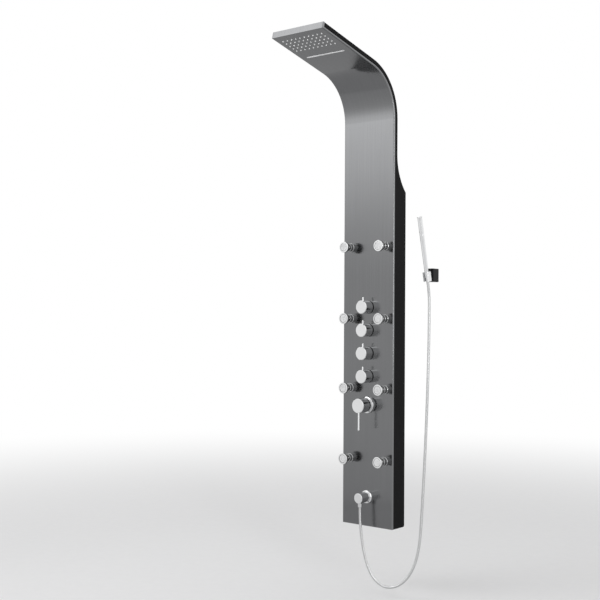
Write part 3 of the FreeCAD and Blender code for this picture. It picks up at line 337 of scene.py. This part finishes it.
def polished_chrome(name, colour, rough=0.05, ripple=0.04, front=None):
    """Plated metal with faint wipe marks and dried drops.

    front is where a turned part's bright face lies; its flank behind that gets painted shade, a
    darker copy of the colour. ripple is how far the plating waves a reflection.
    """
    def build(g):
        place = g.place()
        wipes = g.noise(g.stretched(place, (90.0, 90.0, 34.0)), 1.0, 3.0)
        drops = g.cells(place, 260.0).eased(0.10, 0.22)
        film = g.noise(place, 9.0, 2.0)
        shade = g.mixed(film.eased(0.3, 0.75), tint(colour), tint(colour, 0.94))
        if front is not None:
            # painted shade: the flank behind the front is coloured darker
            painted_flank_shade = g.axes(place)[1].eased(front + 0.001, front + 0.0024)
            shade = g.mixed(painted_flank_shade, shade, tint(colour, 0.32))
        roughness = rough + wipes.eased(0.5, 0.8) * 0.05 + (1 - drops) * 0.02
        return {"Base Color": shade, "Roughness": roughness,
                "Normal": g.bump(g.noise(place, 60.0, 1.0), ripple, 0.0002)}
    return finish_named(name, build, Metallic=1.0)


def dark_lacquer(name, colour):
    """Satin lacquer over steel, with a trace of orange peel and of dust."""
    def build(g):
        place = g.place()
        peel = g.noise(place, 900.0, 2.0)
        haze = g.noise(place, 6.0, 3.0)
        dust = g.noise(place, 2600.0, 1.0).eased(0.66, 0.74)
        shade = g.mixed(haze.eased(0.3, 0.7), tint(colour, 0.85), tint(colour, 1.2))
        shade = g.mixed(dust * 0.12, shade, (0.25, 0.25, 0.26, 1.0))
        return {"Base Color": shade, "Roughness": 0.42 + haze * 0.08 + peel * 0.04,
                "Normal": g.bump(peel, 0.12, 0.00004)}
    return finish_named(name, build, **{"Specular IOR Level": 0.05})


def galvanised(name, colour):
    """Zinc with its spangle and some grime."""
    def build(g):
        place = g.place()
        flake = g.axes(g.cells(place, 210.0, "Color"))[0]
        grime = g.noise(place, 30.0, 4.0)
        shade = g.mixed(flake, tint(colour, 0.78), tint(colour, 1.12))
        shade = g.mixed(grime.eased(0.55, 0.8) * 0.4, shade, tint(colour, 0.6))
        return {"Base Color": shade, "Roughness": 0.36 + flake * 0.16,
                "Normal": g.bump(flake, 0.10, 0.00006)}
    return finish_named(name, build, Metallic=0.85)


def machined_brass(name, colour):
    """Turned and cast brass with tool lines and darkened patches."""
    def build(g):
        place = g.place()
        tool = g.noise(g.stretched(place, (60.0, 2400.0, 60.0)), 1.0, 1.0)
        cast = g.noise(place, 700.0, 3.0)
        age = g.noise(place, 26.0, 4.0, 0.6).eased(0.5, 0.8)
        shade = g.mixed(age, tint(colour), (0.30, 0.19, 0.08, 1.0))
        return {"Base Color": shade, "Roughness": 0.30 + age * 0.2 + (tool - 0.5) * 0.1,
                "Normal": g.bump(tool * 0.6 + cast * 0.4, 0.25, 0.00005)}
    return finish_named(name, build, Metallic=1.0)


def moulded(name, colour, rough=0.42, grain=1400.0):
    """Plastic or rubber with a fine moulded grain and flow marks."""
    def build(g):
        place = g.place()
        skin = g.noise(place, grain, 2.0)
        flow = g.noise(g.stretched(place, (12.0, 12.0, 40.0)), 1.0, 2.0)
        shade = g.mixed(flow.eased(0.3, 0.7), tint(colour, 0.93), tint(colour, 1.04))
        return {"Base Color": shade, "Roughness": rough + (skin - 0.5) * 0.12,
                "Normal": g.bump(skin, 0.25, 0.00003)}
    return finish_named(name, build)


def spiral_steel(name, colour):
    """Hose armour: bright crests and dull joints between the turns."""
    def build(g):
        groove = g.out("ShaderNodeAttribute", "Fac", {"attribute_name": "groove"})
        rub = g.noise(g.place(), 300.0, 2.0)
        shade = g.mixed(groove, tint(colour), tint(colour, 0.30))
        roughness = 0.13 + groove * 0.25 + rub.eased(0.5, 0.8) * 0.08
        return {"Base Color": shade, "Roughness": roughness, "Normal": g.bump(rub, 0.05, 0.0001)}
    return finish_named(name, build, Metallic=1.0)


# ---- mesh tools --------------------------------------------------------------------
def new_piece(name, points, faces, smooth=True):
    """A mesh object in the scene."""
    mesh = bpy.data.meshes.new(name)
    mesh.from_pydata([tuple(p) for p in points], [], faces)
    mesh.validate()
    mesh.update()
    piece = bpy.data.objects.new(name, mesh)
    bpy.context.scene.collection.objects.link(piece)
    mesh.polygons.foreach_set("use_smooth", [smooth] * len(mesh.polygons))
    return piece


def assembled(name, parts):
    """One piece from several lists of points and faces."""
    points, faces = [], []
    for more_points, more_faces in parts:
        start = len(points)
        points += list(more_points)
        faces += [[index + start for index in face] for face in more_faces]
    return new_piece(name, points, faces)


def sharp_by_angle(piece):
    """Keeps creases crisp on a smooth-shaded mesh."""
    form = bmesh.new()
    form.from_mesh(piece.data)
    for edge in form.edges:
        if len(edge.link_faces) == 2:
            edge.smooth = edge.calc_face_angle(0.0) < CREASE
    form.to_mesh(piece.data)
    form.free()


def turned(outline, segments, place):
    """Points and faces of an outline turned about place's Z; a zero radius is one point."""
    points, faces, rings = [], [], []
    for radius, along in outline:
        if radius < 1e-7:
            rings.append([len(points)] * segments)
            points.append(place @ Vector((0.0, 0.0, along)))
        else:
            rings.append(list(range(len(points), len(points) + segments)))
            for k in range(segments):
                a = 2 * math.pi * k / segments
                points.append(place @ Vector((radius * math.cos(a), radius * math.sin(a), along)))
    for low, high in zip(rings, rings[1:]):
        for k in range(segments):
            n = (k + 1) % segments
            corners = []
            for index in (low[k], low[n], high[n], high[k]):
                if index not in corners:
                    corners.append(index)
            if len(corners) > 2:
                faces.append(corners)
    return points, faces


def outward_from(point, forward, upward=(0.0, 0.0, 1.0)):
    """Local Z along forward, local Y as near to upward as it gets."""
    z = Vector(forward).normalized()
    x = Vector(upward).cross(z).normalized()
    turn = Matrix((x, z.cross(x), z)).transposed().to_4x4()
    return Matrix.Translation(Vector(point)) @ turn


def nub(place, radius, height, segments=12):
    """A soft nozzle with a dished bore, its foot just under place's origin."""
    tip = radius * NOZZLE_TAPER
    outline = [(0.0, -0.0002), (radius, -0.0002), (radius, height * 0.25), (tip, height * 0.85),
               (tip * 0.82, height), (tip * 0.45, height), (tip * 0.4, height * 0.6),
               (0.0, height * 0.55)]
    return turned(outline, segments, place)


def cross_recess(place):
    """The two slots of a cross-head screw's recess, to cut it with."""
    slots = []
    for x, y in ((RECESS_REACH, RECESS_WIDTH), (RECESS_WIDTH, RECESS_REACH)):
        corners = [(-x, -y), (x, -y), (x, y), (-x, y)]
        points = [place @ Vector((cx * 0.6, cy * 0.6, -RECESS_DEPTH)) for cx, cy in corners]
        points += [place @ Vector((cx, cy, RECESS_DEPTH)) for cx, cy in corners]
        faces = [(3, 2, 1, 0), (4, 5, 6, 7)]
        faces += [(k, (k + 1) % 4, (k + 1) % 4 + 4, k + 4) for k in range(4)]
        slots.append((points, faces))
    return slots


def cut_away(context, piece, cutter):
    """Takes the cutter out of the piece, and the cutter out of the scene."""
    cut = piece.modifiers.new("cut", "BOOLEAN")
    cut.operation = "DIFFERENCE"
    cut.solver = "EXACT"
    cut.object = cutter
    context.view_layer.update()
    evaluated = piece.evaluated_get(context.evaluated_depsgraph_get())
    done = bpy.data.meshes.new_from_object(evaluated)
    piece.modifiers.clear()
    piece.data = done
    bpy.data.objects.remove(cutter)


def separate_solids(mesh):
    """The corner points of each solid in a mesh."""
    form = bmesh.new()
    form.from_mesh(mesh)
    bmesh.ops.remove_doubles(form, verts=form.verts, dist=1e-6)
    solids, seen = [], set()
    for vert in form.verts:
        if vert.index in seen:
            continue
        stack, points = [vert], []
        while stack:
            here = stack.pop()
            if here.index in seen:
                continue
            seen.add(here.index)
            points.append(here.co.copy())
            stack += [edge.other_vert(here) for edge in here.link_edges]
        solids.append(points)
    form.free()
    return solids


# ---- what a user would change ----------------------------------------------------
class ColumnFinishes(bpy.types.PropertyGroup):
    """Colours and roughness of the finishes"""

    panel: bpy.props.FloatVectorProperty(
        name="Panel steel", description="Colour of the brushed face", subtype="COLOR", size=3,
        default=(0.168, 0.170, 0.174), min=0.0, max=1.0)
    panel_roughness: bpy.props.FloatProperty(
        name="Panel roughness", description="How far the brushing spreads a highlight",
        subtype="FACTOR", default=0.15, min=0.0, max=1.0)
    side: bpy.props.FloatVectorProperty(
        name="Side lacquer", description="Colour of the narrow sides", subtype="COLOR", size=3,
        default=(0.0045, 0.0045, 0.0048), min=0.0, max=1.0)
    chrome: bpy.props.FloatVectorProperty(
        name="Chrome", description="Colour of the plated parts", subtype="COLOR", size=3,
        default=(0.68, 0.685, 0.69), min=0.0, max=1.0)
    hose: bpy.props.FloatVectorProperty(
        name="Hose steel", description="Colour of the hose's armour", subtype="COLOR", size=3,
        default=(0.64, 0.645, 0.65), min=0.0, max=1.0)
    nozzle: bpy.props.FloatVectorProperty(
        name="Nozzle silicone", description="Colour of the soft nozzles", subtype="COLOR", size=3,
        default=(0.86, 0.87, 0.87), min=0.0, max=1.0)


class ColumnSizes(bpy.types.PropertyGroup):
    """Sizes of the fine parts that the solids leave out"""

    hose_diameter: bpy.props.FloatProperty(
        name="Hose diameter", description="Across the crests of its turns", unit="LENGTH",
        default=0.0095, min=0.004, max=0.03)
    hose_pitch: bpy.props.FloatProperty(
        name="Hose pitch", description="From one turn of the armour to the next", unit="LENGTH",
        default=0.0034, min=0.001, max=0.02)
    hose_groove: bpy.props.FloatProperty(
        name="Hose groove", description="Depth of the joint between two turns", unit="LENGTH",
        default=0.00042, min=0.0, max=0.002)
    jet_nub: bpy.props.FloatProperty(
        name="Jet nozzle", description="Radius of a soft nozzle in a body jet", unit="LENGTH",
        default=0.0011, min=0.0003, max=0.003)
    plate_nub: bpy.props.FloatProperty(
        name="Hand shower nozzle", description="Radius of a soft nozzle in the hand shower",
        unit="LENGTH", default=0.0008, min=0.0003, max=0.003)


class StudioSettings(bpy.types.PropertyGroup):
    """Lamps, floor and camera"""

    key_power: bpy.props.FloatProperty(
        name="Key lamp", description="Power of the large lamp at the front left", unit="POWER",
        default=20.0, min=0.0)
    softbox_power: bpy.props.FloatProperty(
        name="Softbox", description="Power of the tall softbox that the upper face mirrors",
        unit="POWER", default=23.0, min=0.0)
    strip_power: bpy.props.FloatProperty(
        name="Strip lamp", description="Power of the tall narrow lamp at the right", unit="POWER",
        default=22.0, min=0.0)
    floor_drop: bpy.props.FloatProperty(
        name="Floor drop", description="Floor below the lowest point of the hose", unit="LENGTH",
        default=0.03, min=0.0, max=3.0)
    floor_colour: bpy.props.FloatVectorProperty(
        name="Floor", description="Colour of the floor", subtype="COLOR", size=3,
        default=(0.84, 0.84, 0.845), min=0.0, max=1.0)
    lens: bpy.props.FloatProperty(
        name="Lens", description="Focal length on a 36 mm frame, in millimetres",
        default=62.75, min=10.0)


# ---- dressing the solids -----------------------------------------------------------
def dress(nodes, material):
    """Gives solids of the frame their material."""
    for node in nodes:
        mesh = NODES[node].data
        mesh.materials.clear()
        mesh.materials.append(material)


class COLUMN_OT_dress_panel(bpy.types.Operator):
    """Brushed face, lacquered sides and the parts behind them that carry and feed it"""

    bl_idname = "column.dress_panel"
    bl_label = "Dress the panel"

    def execute(self, context):
        look = context.scene.column_finishes
        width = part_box("face_panel")[1].x
        dress(["face_panel"], brushed_steel("brushed_panel", look.panel, rough=look.panel_roughness,
                                            fold=width - FOLD_INSET))
        dress(["side_skin_left", "side_skin_right", "arm_back_cover", "bottom_cover"],
              dark_lacquer("side_lacquer", look.side))
        dress(["upper_wall_bracket", "lower_wall_bracket", "hanger_rails"],
              galvanised("galvanised_bracket", (0.50, 0.51, 0.52)))
        dress(["rain_chamber"], moulded("chamber_plastic", (0.03, 0.03, 0.032), rough=0.5))
        dress(["feed_tubes"],
              moulded("tube_plastic", (0.72, 0.71, 0.67), rough=0.35, grain=500.0))
        dress(["mixer_cartridge", "mixer_carrier"],
              moulded("cartridge_plastic", (0.62, 0.60, 0.54)))
        return {"FINISHED"}


class COLUMN_OT_dress_fittings(bpy.types.Operator):
    """Chrome on everything a hand touches, brass and rubber behind it"""

    bl_idname = "column.dress_fittings"
    bl_label = "Dress the fittings"

    def execute(self, context):
        look = context.scene.column_finishes
        dress(["mixer_bonnet", "mixer_flange", "mixer_handle", "outlet_body", "outlet_flange",
               "hose_nut_outlet", "hose_nut_handset", "hose_ferrule", *KNOBS],
              polished_chrome("polished_chrome", look.chrome))
        # painted shade on each jet head's flank behind its face
        dress(JETS, polished_chrome("jet_chrome", look.chrome, front=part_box(JETS[0])[0].y))
        # painted shade: a darker copy of the chrome on the jets' bodies and collars
        dress(["jet_bodies", "jet_collars"],
              polished_chrome("shaded_chrome", tint(look.chrome, 0.62), rough=0.09))
        dress(["mixer_lever", "holder_clip", *PINS],
              polished_chrome("satin_chrome", tint(look.chrome, 1.2), rough=0.34))
        # painted reflection: a near-black colour stands in for the dark surroundings that the
        # chrome block mirrors
        dress(["holder_base"],
              polished_chrome("chrome_painted_dark", (0.015, 0.0153, 0.016), rough=0.12))
        dress(["valve_manifold", "mixer_body", "inlet_unions", "back_nuts",
               "diverter_cartridges", "diverter_lock_nuts", *SPINDLES],
              machined_brass("machined_brass", (0.66, 0.48, 0.22)))
        dress(["mixer_stem"],
              brushed_steel("turned_stem", (0.55, 0.55, 0.56), across=(0.0, 1.0, 0.0)))
        dress(["diverter_base_rings"], moulded("black_seal", (0.008, 0.008, 0.008), rough=0.6))
        dress(["rain_nozzle_mat"],
              moulded("nozzle_silicone", look.nozzle, rough=0.38, grain=2200.0))
        dress(["waterfall_spout"], moulded("spout_plastic", (0.88, 0.885, 0.89), rough=0.25))
        dress(["handset_spray_plate"], moulded("plate_plastic", (0.48, 0.49, 0.50), rough=0.4))
        return {"FINISHED"}


# ---- pieces that the solids leave out ------------------------------------------------
class COLUMN_OT_jet_faces(bpy.types.Operator):
    """Spray face with soft nozzles, and a dark rubber ring that also paints the shade of the gap
    round it, in the mouth of each body jet
    """

    bl_idname = "column.jet_faces"
    bl_label = "Jet spray faces"

    def execute(self, context):
        radius = context.scene.column_sizes.jet_nub
        plate = moulded("jet_plate", (0.72, 0.725, 0.73), rough=0.32)
        # the ring's dark colour is rubber, and also painted shade of the gap
        rubber = moulded("jet_seal_gap_shade", (0.05, 0.05, 0.052), rough=0.5)
        for node in JETS:
            low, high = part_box(node)
            front = Vector(((low.x + high.x) / 2, low.y, (low.z + high.z) / 2))
            place = outward_from(front, (0.0, -1.0, 0.0))
            parts = [turned(JET_DISC, JET_SEGMENTS, place)]
            for ring, count in JET_NOZZLES:
                for k in range(count):
                    a = 2 * math.pi * (k + 0.5) / count
                    foot = (ring * math.cos(a), ring * math.sin(a), JET_NOZZLE_FOOT)
                    spot = place @ Matrix.Translation(foot)
                    parts.append(nub(spot, radius, JET_NOZZLE_HEIGHT))
            piece = assembled(node.replace("jet_head", "jet_face"), parts)
            sharp_by_angle(piece)
            piece.data.materials.append(plate)
            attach(piece, node.replace("jet_head", "jet"))
            # painted shade: the dark rubber ring fills the gap round the spray face
            seal_gap_shade = assembled(node.replace("jet_head", "jet_seal_gap_shade"),
                             [turned(JET_SEAL_GAP_SHADE, JET_SEGMENTS, place)])
            seal_gap_shade.data.materials.append(rubber)
            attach(seal_gap_shade, node.replace("jet_head", "jet"))
        return {"FINISHED"}


def stick_axes():
    """The way that the hand shower points, and the way that its spray plate faces."""
    lean = math.radians(STICK_LEAN)
    return (Vector((0.0, -math.sin(lean), math.cos(lean))),
            Vector((0.0, math.cos(lean), math.sin(lean))))


class COLUMN_OT_hand_shower(bpy.types.Operator):
    """Slim hand shower, turned in two lengths with a flat seat for its spray plate"""

    bl_idname = "column.hand_shower"
    bl_label = "Hand shower"

    def execute(self, context):
        along, outward = stick_axes()
        place = outward_from(STICK_MIDDLE, along, upward=outward)
        outline = STICK_FOOT + STICK_GRIP + STICK_NECK + STICK_HEAD + STICK_TIP
        stick = assembled("hand_shower_stick", [turned(outline, STICK_SEGMENTS, place)])
        seat = [place @ Vector((x, y, z))
                for z in SEAT_ALONG for y in SEAT_DEEP for x in SEAT_ACROSS]
        sides = [(0, 2, 3, 1), (4, 5, 7, 6), (0, 1, 5, 4), (2, 6, 7, 3), (0, 4, 6, 2), (1, 3, 7, 5)]
        cut_away(context, stick, assembled("seat_cutter", [(seat, sides)]))
        sharp_by_angle(stick)
        bright = tint(context.scene.column_finishes.chrome, 1.12)
        stick.data.materials.clear()
        stick.data.materials.append(
            polished_chrome("stick_chrome", bright, rough=0.12, ripple=0.0))
        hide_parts("handset_grip", "handset_head")
        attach(stick, "handset")
        return {"FINISHED"}


class COLUMN_OT_hand_shower_nozzles(bpy.types.Operator):
    """Soft nozzles on the hand shower's spray plate"""

    bl_idname = "column.hand_shower_nozzles"
    bl_label = "Hand shower nozzles"

    def execute(self, context):
        radius = context.scene.column_sizes.plate_nub
        along, outward = stick_axes()
        points = np.array([tuple(v.co) for v in NODES["handset_spray_plate"].data.vertices])
        centre = points.mean(0)
        reach = ((points - centre) @ np.array(outward)).max()
        top = Vector(centre) + outward * float(reach)
        parts = []
        for row in range(PLATE_ROWS):
            for column in (-1, 0, 1):
                middle = column == 0
                if middle and row == PLATE_ROWS - 1:
                    continue                    # the middle column lies half a row further on
                step = (row - PLATE_ROWS // 2 + 0.5 * middle) * PLATE_ROW_PITCH
                spot = top + along * step + Vector((column * PLATE_COLUMN_PITCH, 0.0, 0.0))
                parts.append(nub(outward_from(spot, outward), radius, PLATE_NOZZLE_HEIGHT,
                                 segments=10))
        piece = assembled("handset_nozzles", parts)
        sharp_by_angle(piece)
        look = context.scene.column_finishes
        piece.data.materials.append(moulded("plate_nozzles", look.nozzle, rough=0.4))
        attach(piece, "handset")
        return {"FINISHED"}


class COLUMN_OT_cover_screws(bpy.types.Operator):
    """Cross-head screws that hold the arm's back cover"""

    bl_idname = "column.cover_screws"
    bl_label = "Cover screws"

    def execute(self, context):
        rise = math.radians(HEAD_RISE)
        outward = Vector((0.0, math.sin(rise), math.cos(rise)))
        parts, recesses = [], []
        for points in separate_solids(NODES["cover_screws"].data):
            centre = sum(points, Vector()) / len(points)
            top = max((p - centre).dot(outward) for p in points)
            place = outward_from(centre + outward * top, outward, upward=(0.0, 1.0, 0.0))
            parts.append(turned(SCREW_OUTLINE, SCREW_SEGMENTS, place))
            recesses.append(cross_recess(place))
        screws = assembled("cross_head_screws", parts)
        for number, slots in enumerate(zip(*recesses)):
            cut_away(context, screws, assembled(f"cutter_{number}", slots))
        sharp_by_angle(screws)
        screws.data.materials.clear()
        screws.data.materials.append(galvanised("screw_zinc", (0.60, 0.60, 0.61)))
        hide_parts("cover_screws")
        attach(screws, "column")
        return {"FINISHED"}


# ---- hose ------------------------------------------------------------------------------
def smooth_line(route, name):
    """Points along the route's NURBS curve; the curve itself is thrown away."""
    curve = bpy.data.curves.new(name, "CURVE")
    curve.dimensions = "3D"
    curve.resolution_u = 24
    spline = curve.splines.new("NURBS")
    spline.points.add(len(route) - 1)
    for point, place in zip(spline.points, route):
        point.co = (*place, 1.0)
    spline.order_u = 3
    spline.use_endpoint_u = True
    carrier = bpy.data.objects.new(name, curve)
    bpy.context.scene.collection.objects.link(carrier)
    bpy.context.view_layer.update()
    evaluated = carrier.evaluated_get(bpy.context.evaluated_depsgraph_get())
    mesh = bpy.data.meshes.new_from_object(evaluated)
    points = np.array([tuple(v.co) for v in mesh.vertices])
    bpy.data.objects.remove(carrier)
    bpy.data.curves.remove(curve)
    bpy.data.meshes.remove(mesh)
    return points


def evenly(points, step):
    """The same line with points a step apart, how far along each lies, and its length."""
    lengths = np.linalg.norm(np.diff(points, axis=0), axis=1)
    run = np.concatenate([[0.0], np.cumsum(lengths)])
    count = max(2, int(round(run[-1] / step)) + 1)
    wanted = np.linspace(0.0, run[-1], count)
    even = np.column_stack([np.interp(wanted, run, points[:, i]) for i in range(3)])
    return even, wanted, float(run[-1])


def carried_frames(points):
    """Two directions square to the line at each point, without twist."""
    ahead = np.gradient(points, axis=0)
    ahead /= np.linalg.norm(ahead, axis=1)[:, None]
    side = np.cross(ahead[0], (1.0, 0.0, 0.0))
    sides = []
    for direction in ahead:
        side = side - direction * (side @ direction)
        side = side / np.linalg.norm(side)
        sides.append(side)
    sides = np.array(sides)
    return sides, np.cross(ahead, sides)


def armour_joints(run, length, angle, pitch):
    """1 in the joint between two turns and 0 on their crests, for each ring and angle."""
    turn = (run[:, None] / pitch - angle[None, :] / (2 * math.pi)) % 1.0
    dip = np.clip(1.0 - np.abs(turn - 0.5) / HOSE_JOINT_SHARE, 0.0, 1.0)
    dip = dip * dip * (3 - 2 * dip)
    armoured = np.clip(np.minimum(run, length - run) / HOSE_PLAIN_END, 0.0, 1.0)
    return dip * armoured[:, None]


def tube_faces(rings, around):
    """Faces of a tube of rings of points, closed at both ends."""
    faces = []
    for ring in range(rings - 1):
        low, high = ring * around, (ring + 1) * around
        for k in range(around):
            n = (k + 1) % around
            faces.append((low + k, low + n, high + n, high + k))
    faces.append(tuple(range(around - 1, -1, -1)))
    faces.append(tuple((rings - 1) * around + k for k in range(around)))
    return faces


class COLUMN_OT_hose(bpy.types.Operator):
    """Spiral-armoured hose that hangs from its outlet and rises to the hand shower"""

    bl_idname = "column.hose"
    bl_label = "Hose"

    def execute(self, context):
        sizes = context.scene.column_sizes
        line = smooth_line(HOSE_ROUTE, "hose_line")
        centre, run, length = evenly(line, sizes.hose_pitch / HOSE_RINGS)
        u, v = carried_frames(centre)
        angle = np.linspace(0.0, 2 * math.pi, HOSE_AROUND, endpoint=False)
        dip = armour_joints(run, length, angle, sizes.hose_pitch)
        radius = sizes.hose_diameter / 2 - sizes.hose_groove * dip
        spokes = (np.cos(angle)[None, :, None] * u[:, None, :]
                  + np.sin(angle)[None, :, None] * v[:, None, :])
        points = (centre[:, None, :] + radius[:, :, None] * spokes).reshape(-1, 3)
        hose = new_piece("shower_hose", points.tolist(), tube_faces(len(centre), HOSE_AROUND))
        groove = hose.data.attributes.new("groove", "FLOAT", "POINT")
        groove.data.foreach_set("value", dip.reshape(-1).astype(np.float32))
        hose.data.materials.append(spiral_steel("spiral_steel", context.scene.column_finishes.hose))
        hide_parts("hose")
        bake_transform(hose)
        return {"FINISHED"}


# ---- studio ------------------------------------------------------------------------------
class COLUMN_OT_studio(bpy.types.Operator):
    """Pale floor, soft lamps, plain backdrop and the camera"""

    bl_idname = "column.studio"
    bl_label = "Studio"

    def execute(self, context):
        scene = context.scene
        studio = scene.column_studio
        scene.view_settings.view_transform = "Standard"
        self.backdrop(scene)
        self.floor(studio)
        self.lamp("key_lamp", *KEY_LAMP, studio.key_power)
        self.lamp("strip_lamp", *STRIP_LAMP, studio.strip_power)
        softbox = self.lamp("softbox", *SOFTBOX, studio.softbox_power)
        self.fade_downwards(softbox.data)
        self.camera(scene, studio)
        return {"FINISHED"}

    def backdrop(self, scene):
        """White to the camera, and to metal a white room, brighter overhead and at the right."""
        world = bpy.data.worlds.new("studio_backdrop")
        scene.world = world
        world.use_nodes = True
        g = Graph(world.node_tree)
        rightward, _, height = g.axes(g.out("ShaderNodeTexCoord", "Generated"))
        seen = g.ray("Is Camera Ray")
        mirrored = g.ray("Is Glossy Ray").at_least(g.ray("Is Transmission Ray"))
        room = height.eased(0.0, 0.6, 0.93, 1.2) * rightward.eased(0.25, 0.7, 1.0, 1.2)
        strength = seen + (1 - seen) * (mirrored * room + (1 - mirrored) * WORLD_LIGHT)
        glow = g.out("ShaderNodeBackground", 0, None,
                     {"Color": (1.0, 1.0, 1.0, 1.0), "Strength": strength})
        g.add("ShaderNodeOutputWorld", None, {"Surface": glow})

    def floor(self, studio):
        """Matt and shadowed round the column, and white further out."""
        level = CAD_LOW.z - studio.floor_drop
        corners = [(FLOOR_HALF * x, FLOOR_HALF * y, level)
                   for x, y in ((-1, -1), (1, -1), (1, 1), (-1, 1))]
        floor = new_piece("studio_floor", corners, [(0, 1, 2, 3)], smooth=False)
        material = bpy.data.materials.new("pale_floor")
        material.use_nodes = True
        g = Graph(material.node_tree)
        x, y, _ = g.axes(g.place())
        away = ((x * x + y * y) ** 0.5).eased(*FLOOR_FADE)
        grain = g.noise(g.place(), 40.0, 3.0)
        shade = g.mixed(grain, tint(studio.floor_colour, 0.98), tint(studio.floor_colour, 1.02))
        matt = g.out("ShaderNodeBsdfDiffuse", 0, None, {"Color": shade})
        brightness = g.ray("Is Camera Ray") * (1.0 - FLOOR_GLOW) + FLOOR_GLOW
        glow = g.out("ShaderNodeEmission", 0, None,
                     {"Color": (1.0, 1.0, 1.0, 1.0), "Strength": brightness})
        mix = g.out("ShaderNodeMixShader", 0, None, {0: away, 1: matt, 2: glow})
        g.add("ShaderNodeOutputMaterial", None, {"Surface": mix})
        floor.data.materials.append(material)

    def lamp(self, name, place, target, size, power):
        """A rectangular lamp that the camera doesn't see."""
        data = bpy.data.lights.new(name, "AREA")
        data.shape = "RECTANGLE"
        data.size, data.size_y = size
        data.energy = power
        lamp = bpy.data.objects.new(name, data)
        bpy.context.scene.collection.objects.link(lamp)
        lamp.location = place
        lamp.rotation_mode = "QUATERNION"
        lamp.rotation_quaternion = (Vector(target) - Vector(place)).to_track_quat("-Z", "Y")
        lamp.visible_camera = False
        return lamp

    def fade_downwards(self, data):
        """Full glow high on the lamp, a faint one in its lower third, and soft sides."""
        data.use_nodes = True
        g = Graph(data.node_tree)
        u, v, _ = g.axes(g.out("ShaderNodeNewGeometry", "Parametric"))
        sides = u.eased(0.0, 0.15) * u.eased(0.85, 1.0, 1.0, 0.0)
        strength = v.eased(0.4, 0.81, 0.1, 1.0) * v.eased(0.88, 1.0, 1.0, 0.3) * sides
        glow = g.out("ShaderNodeEmission", 0, None, {"Strength": strength})
        g.add("ShaderNodeOutputLight", None, {"Surface": glow})

    def camera(self, scene, studio):
        """Stands at the front right, a little below the middle, and looks slightly up."""
        sideways, forward = math.sin(CAMERA_YAW), math.cos(CAMERA_YAW)
        ahead = Vector((-sideways * math.cos(CAMERA_PITCH), forward * math.cos(CAMERA_PITCH),
                        math.sin(CAMERA_PITCH)))
        level = Vector((forward, sideways, 0.0))
        upright = level.cross(ahead)
        right = level * math.cos(CAMERA_ROLL) + upright * math.sin(CAMERA_ROLL)
        up = upright * math.cos(CAMERA_ROLL) - level * math.sin(CAMERA_ROLL)
        data = bpy.data.cameras.new("studio_camera")
        data.sensor_width = CAMERA_FRAME
        data.lens = studio.lens
        data.clip_end = CAMERA_FAR
        camera = bpy.data.objects.new("studio_camera", data)
        scene.collection.objects.link(camera)
        turn = Matrix((right, up, -ahead)).transposed().to_4x4()
        camera.matrix_world = Matrix.Translation(CAMERA_PLACE) @ turn
        scene.camera = camera


class COLUMN_PT_studio(bpy.types.Panel):
    """Lists the settings and the steps that build the picture"""

    bl_idname = "COLUMN_PT_studio"
    bl_label = "Shower column"
    bl_space_type = "VIEW_3D"
    bl_region_type = "UI"
    bl_category = "Shower"

    def draw(self, context):
        scene = context.scene
        for settings in (scene.column_finishes, scene.column_sizes, scene.column_studio):
            box = self.layout.box()
            for name in settings.bl_rna.properties.keys():
                if name not in ("rna_type", "name"):
                    box.prop(settings, name)
        for step in STEPS:
            self.layout.operator(step.bl_idname)


STEPS = (COLUMN_OT_studio, COLUMN_OT_hose, COLUMN_OT_dress_panel, COLUMN_OT_dress_fittings,
         COLUMN_OT_jet_faces, COLUMN_OT_hand_shower, COLUMN_OT_hand_shower_nozzles,
         COLUMN_OT_cover_screws)
CLASSES = (ColumnFinishes, ColumnSizes, StudioSettings, *STEPS, COLUMN_PT_studio)


def register():
    for item in CLASSES:
        bpy.utils.register_class(item)
    bpy.types.Scene.column_finishes = bpy.props.PointerProperty(type=ColumnFinishes)
    bpy.types.Scene.column_sizes = bpy.props.PointerProperty(type=ColumnSizes)
    bpy.types.Scene.column_studio = bpy.props.PointerProperty(type=StudioSettings)


def unregister():
    del bpy.types.Scene.column_studio
    del bpy.types.Scene.column_sizes
    del bpy.types.Scene.column_finishes
    for item in reversed(CLASSES):
        bpy.utils.unregister_class(item)


def main():
    register()
    for step in STEPS:
        group, name = step.bl_idname.split(".")
        getattr(getattr(bpy.ops, group), name)()


if __name__ == "__main__":
    main()
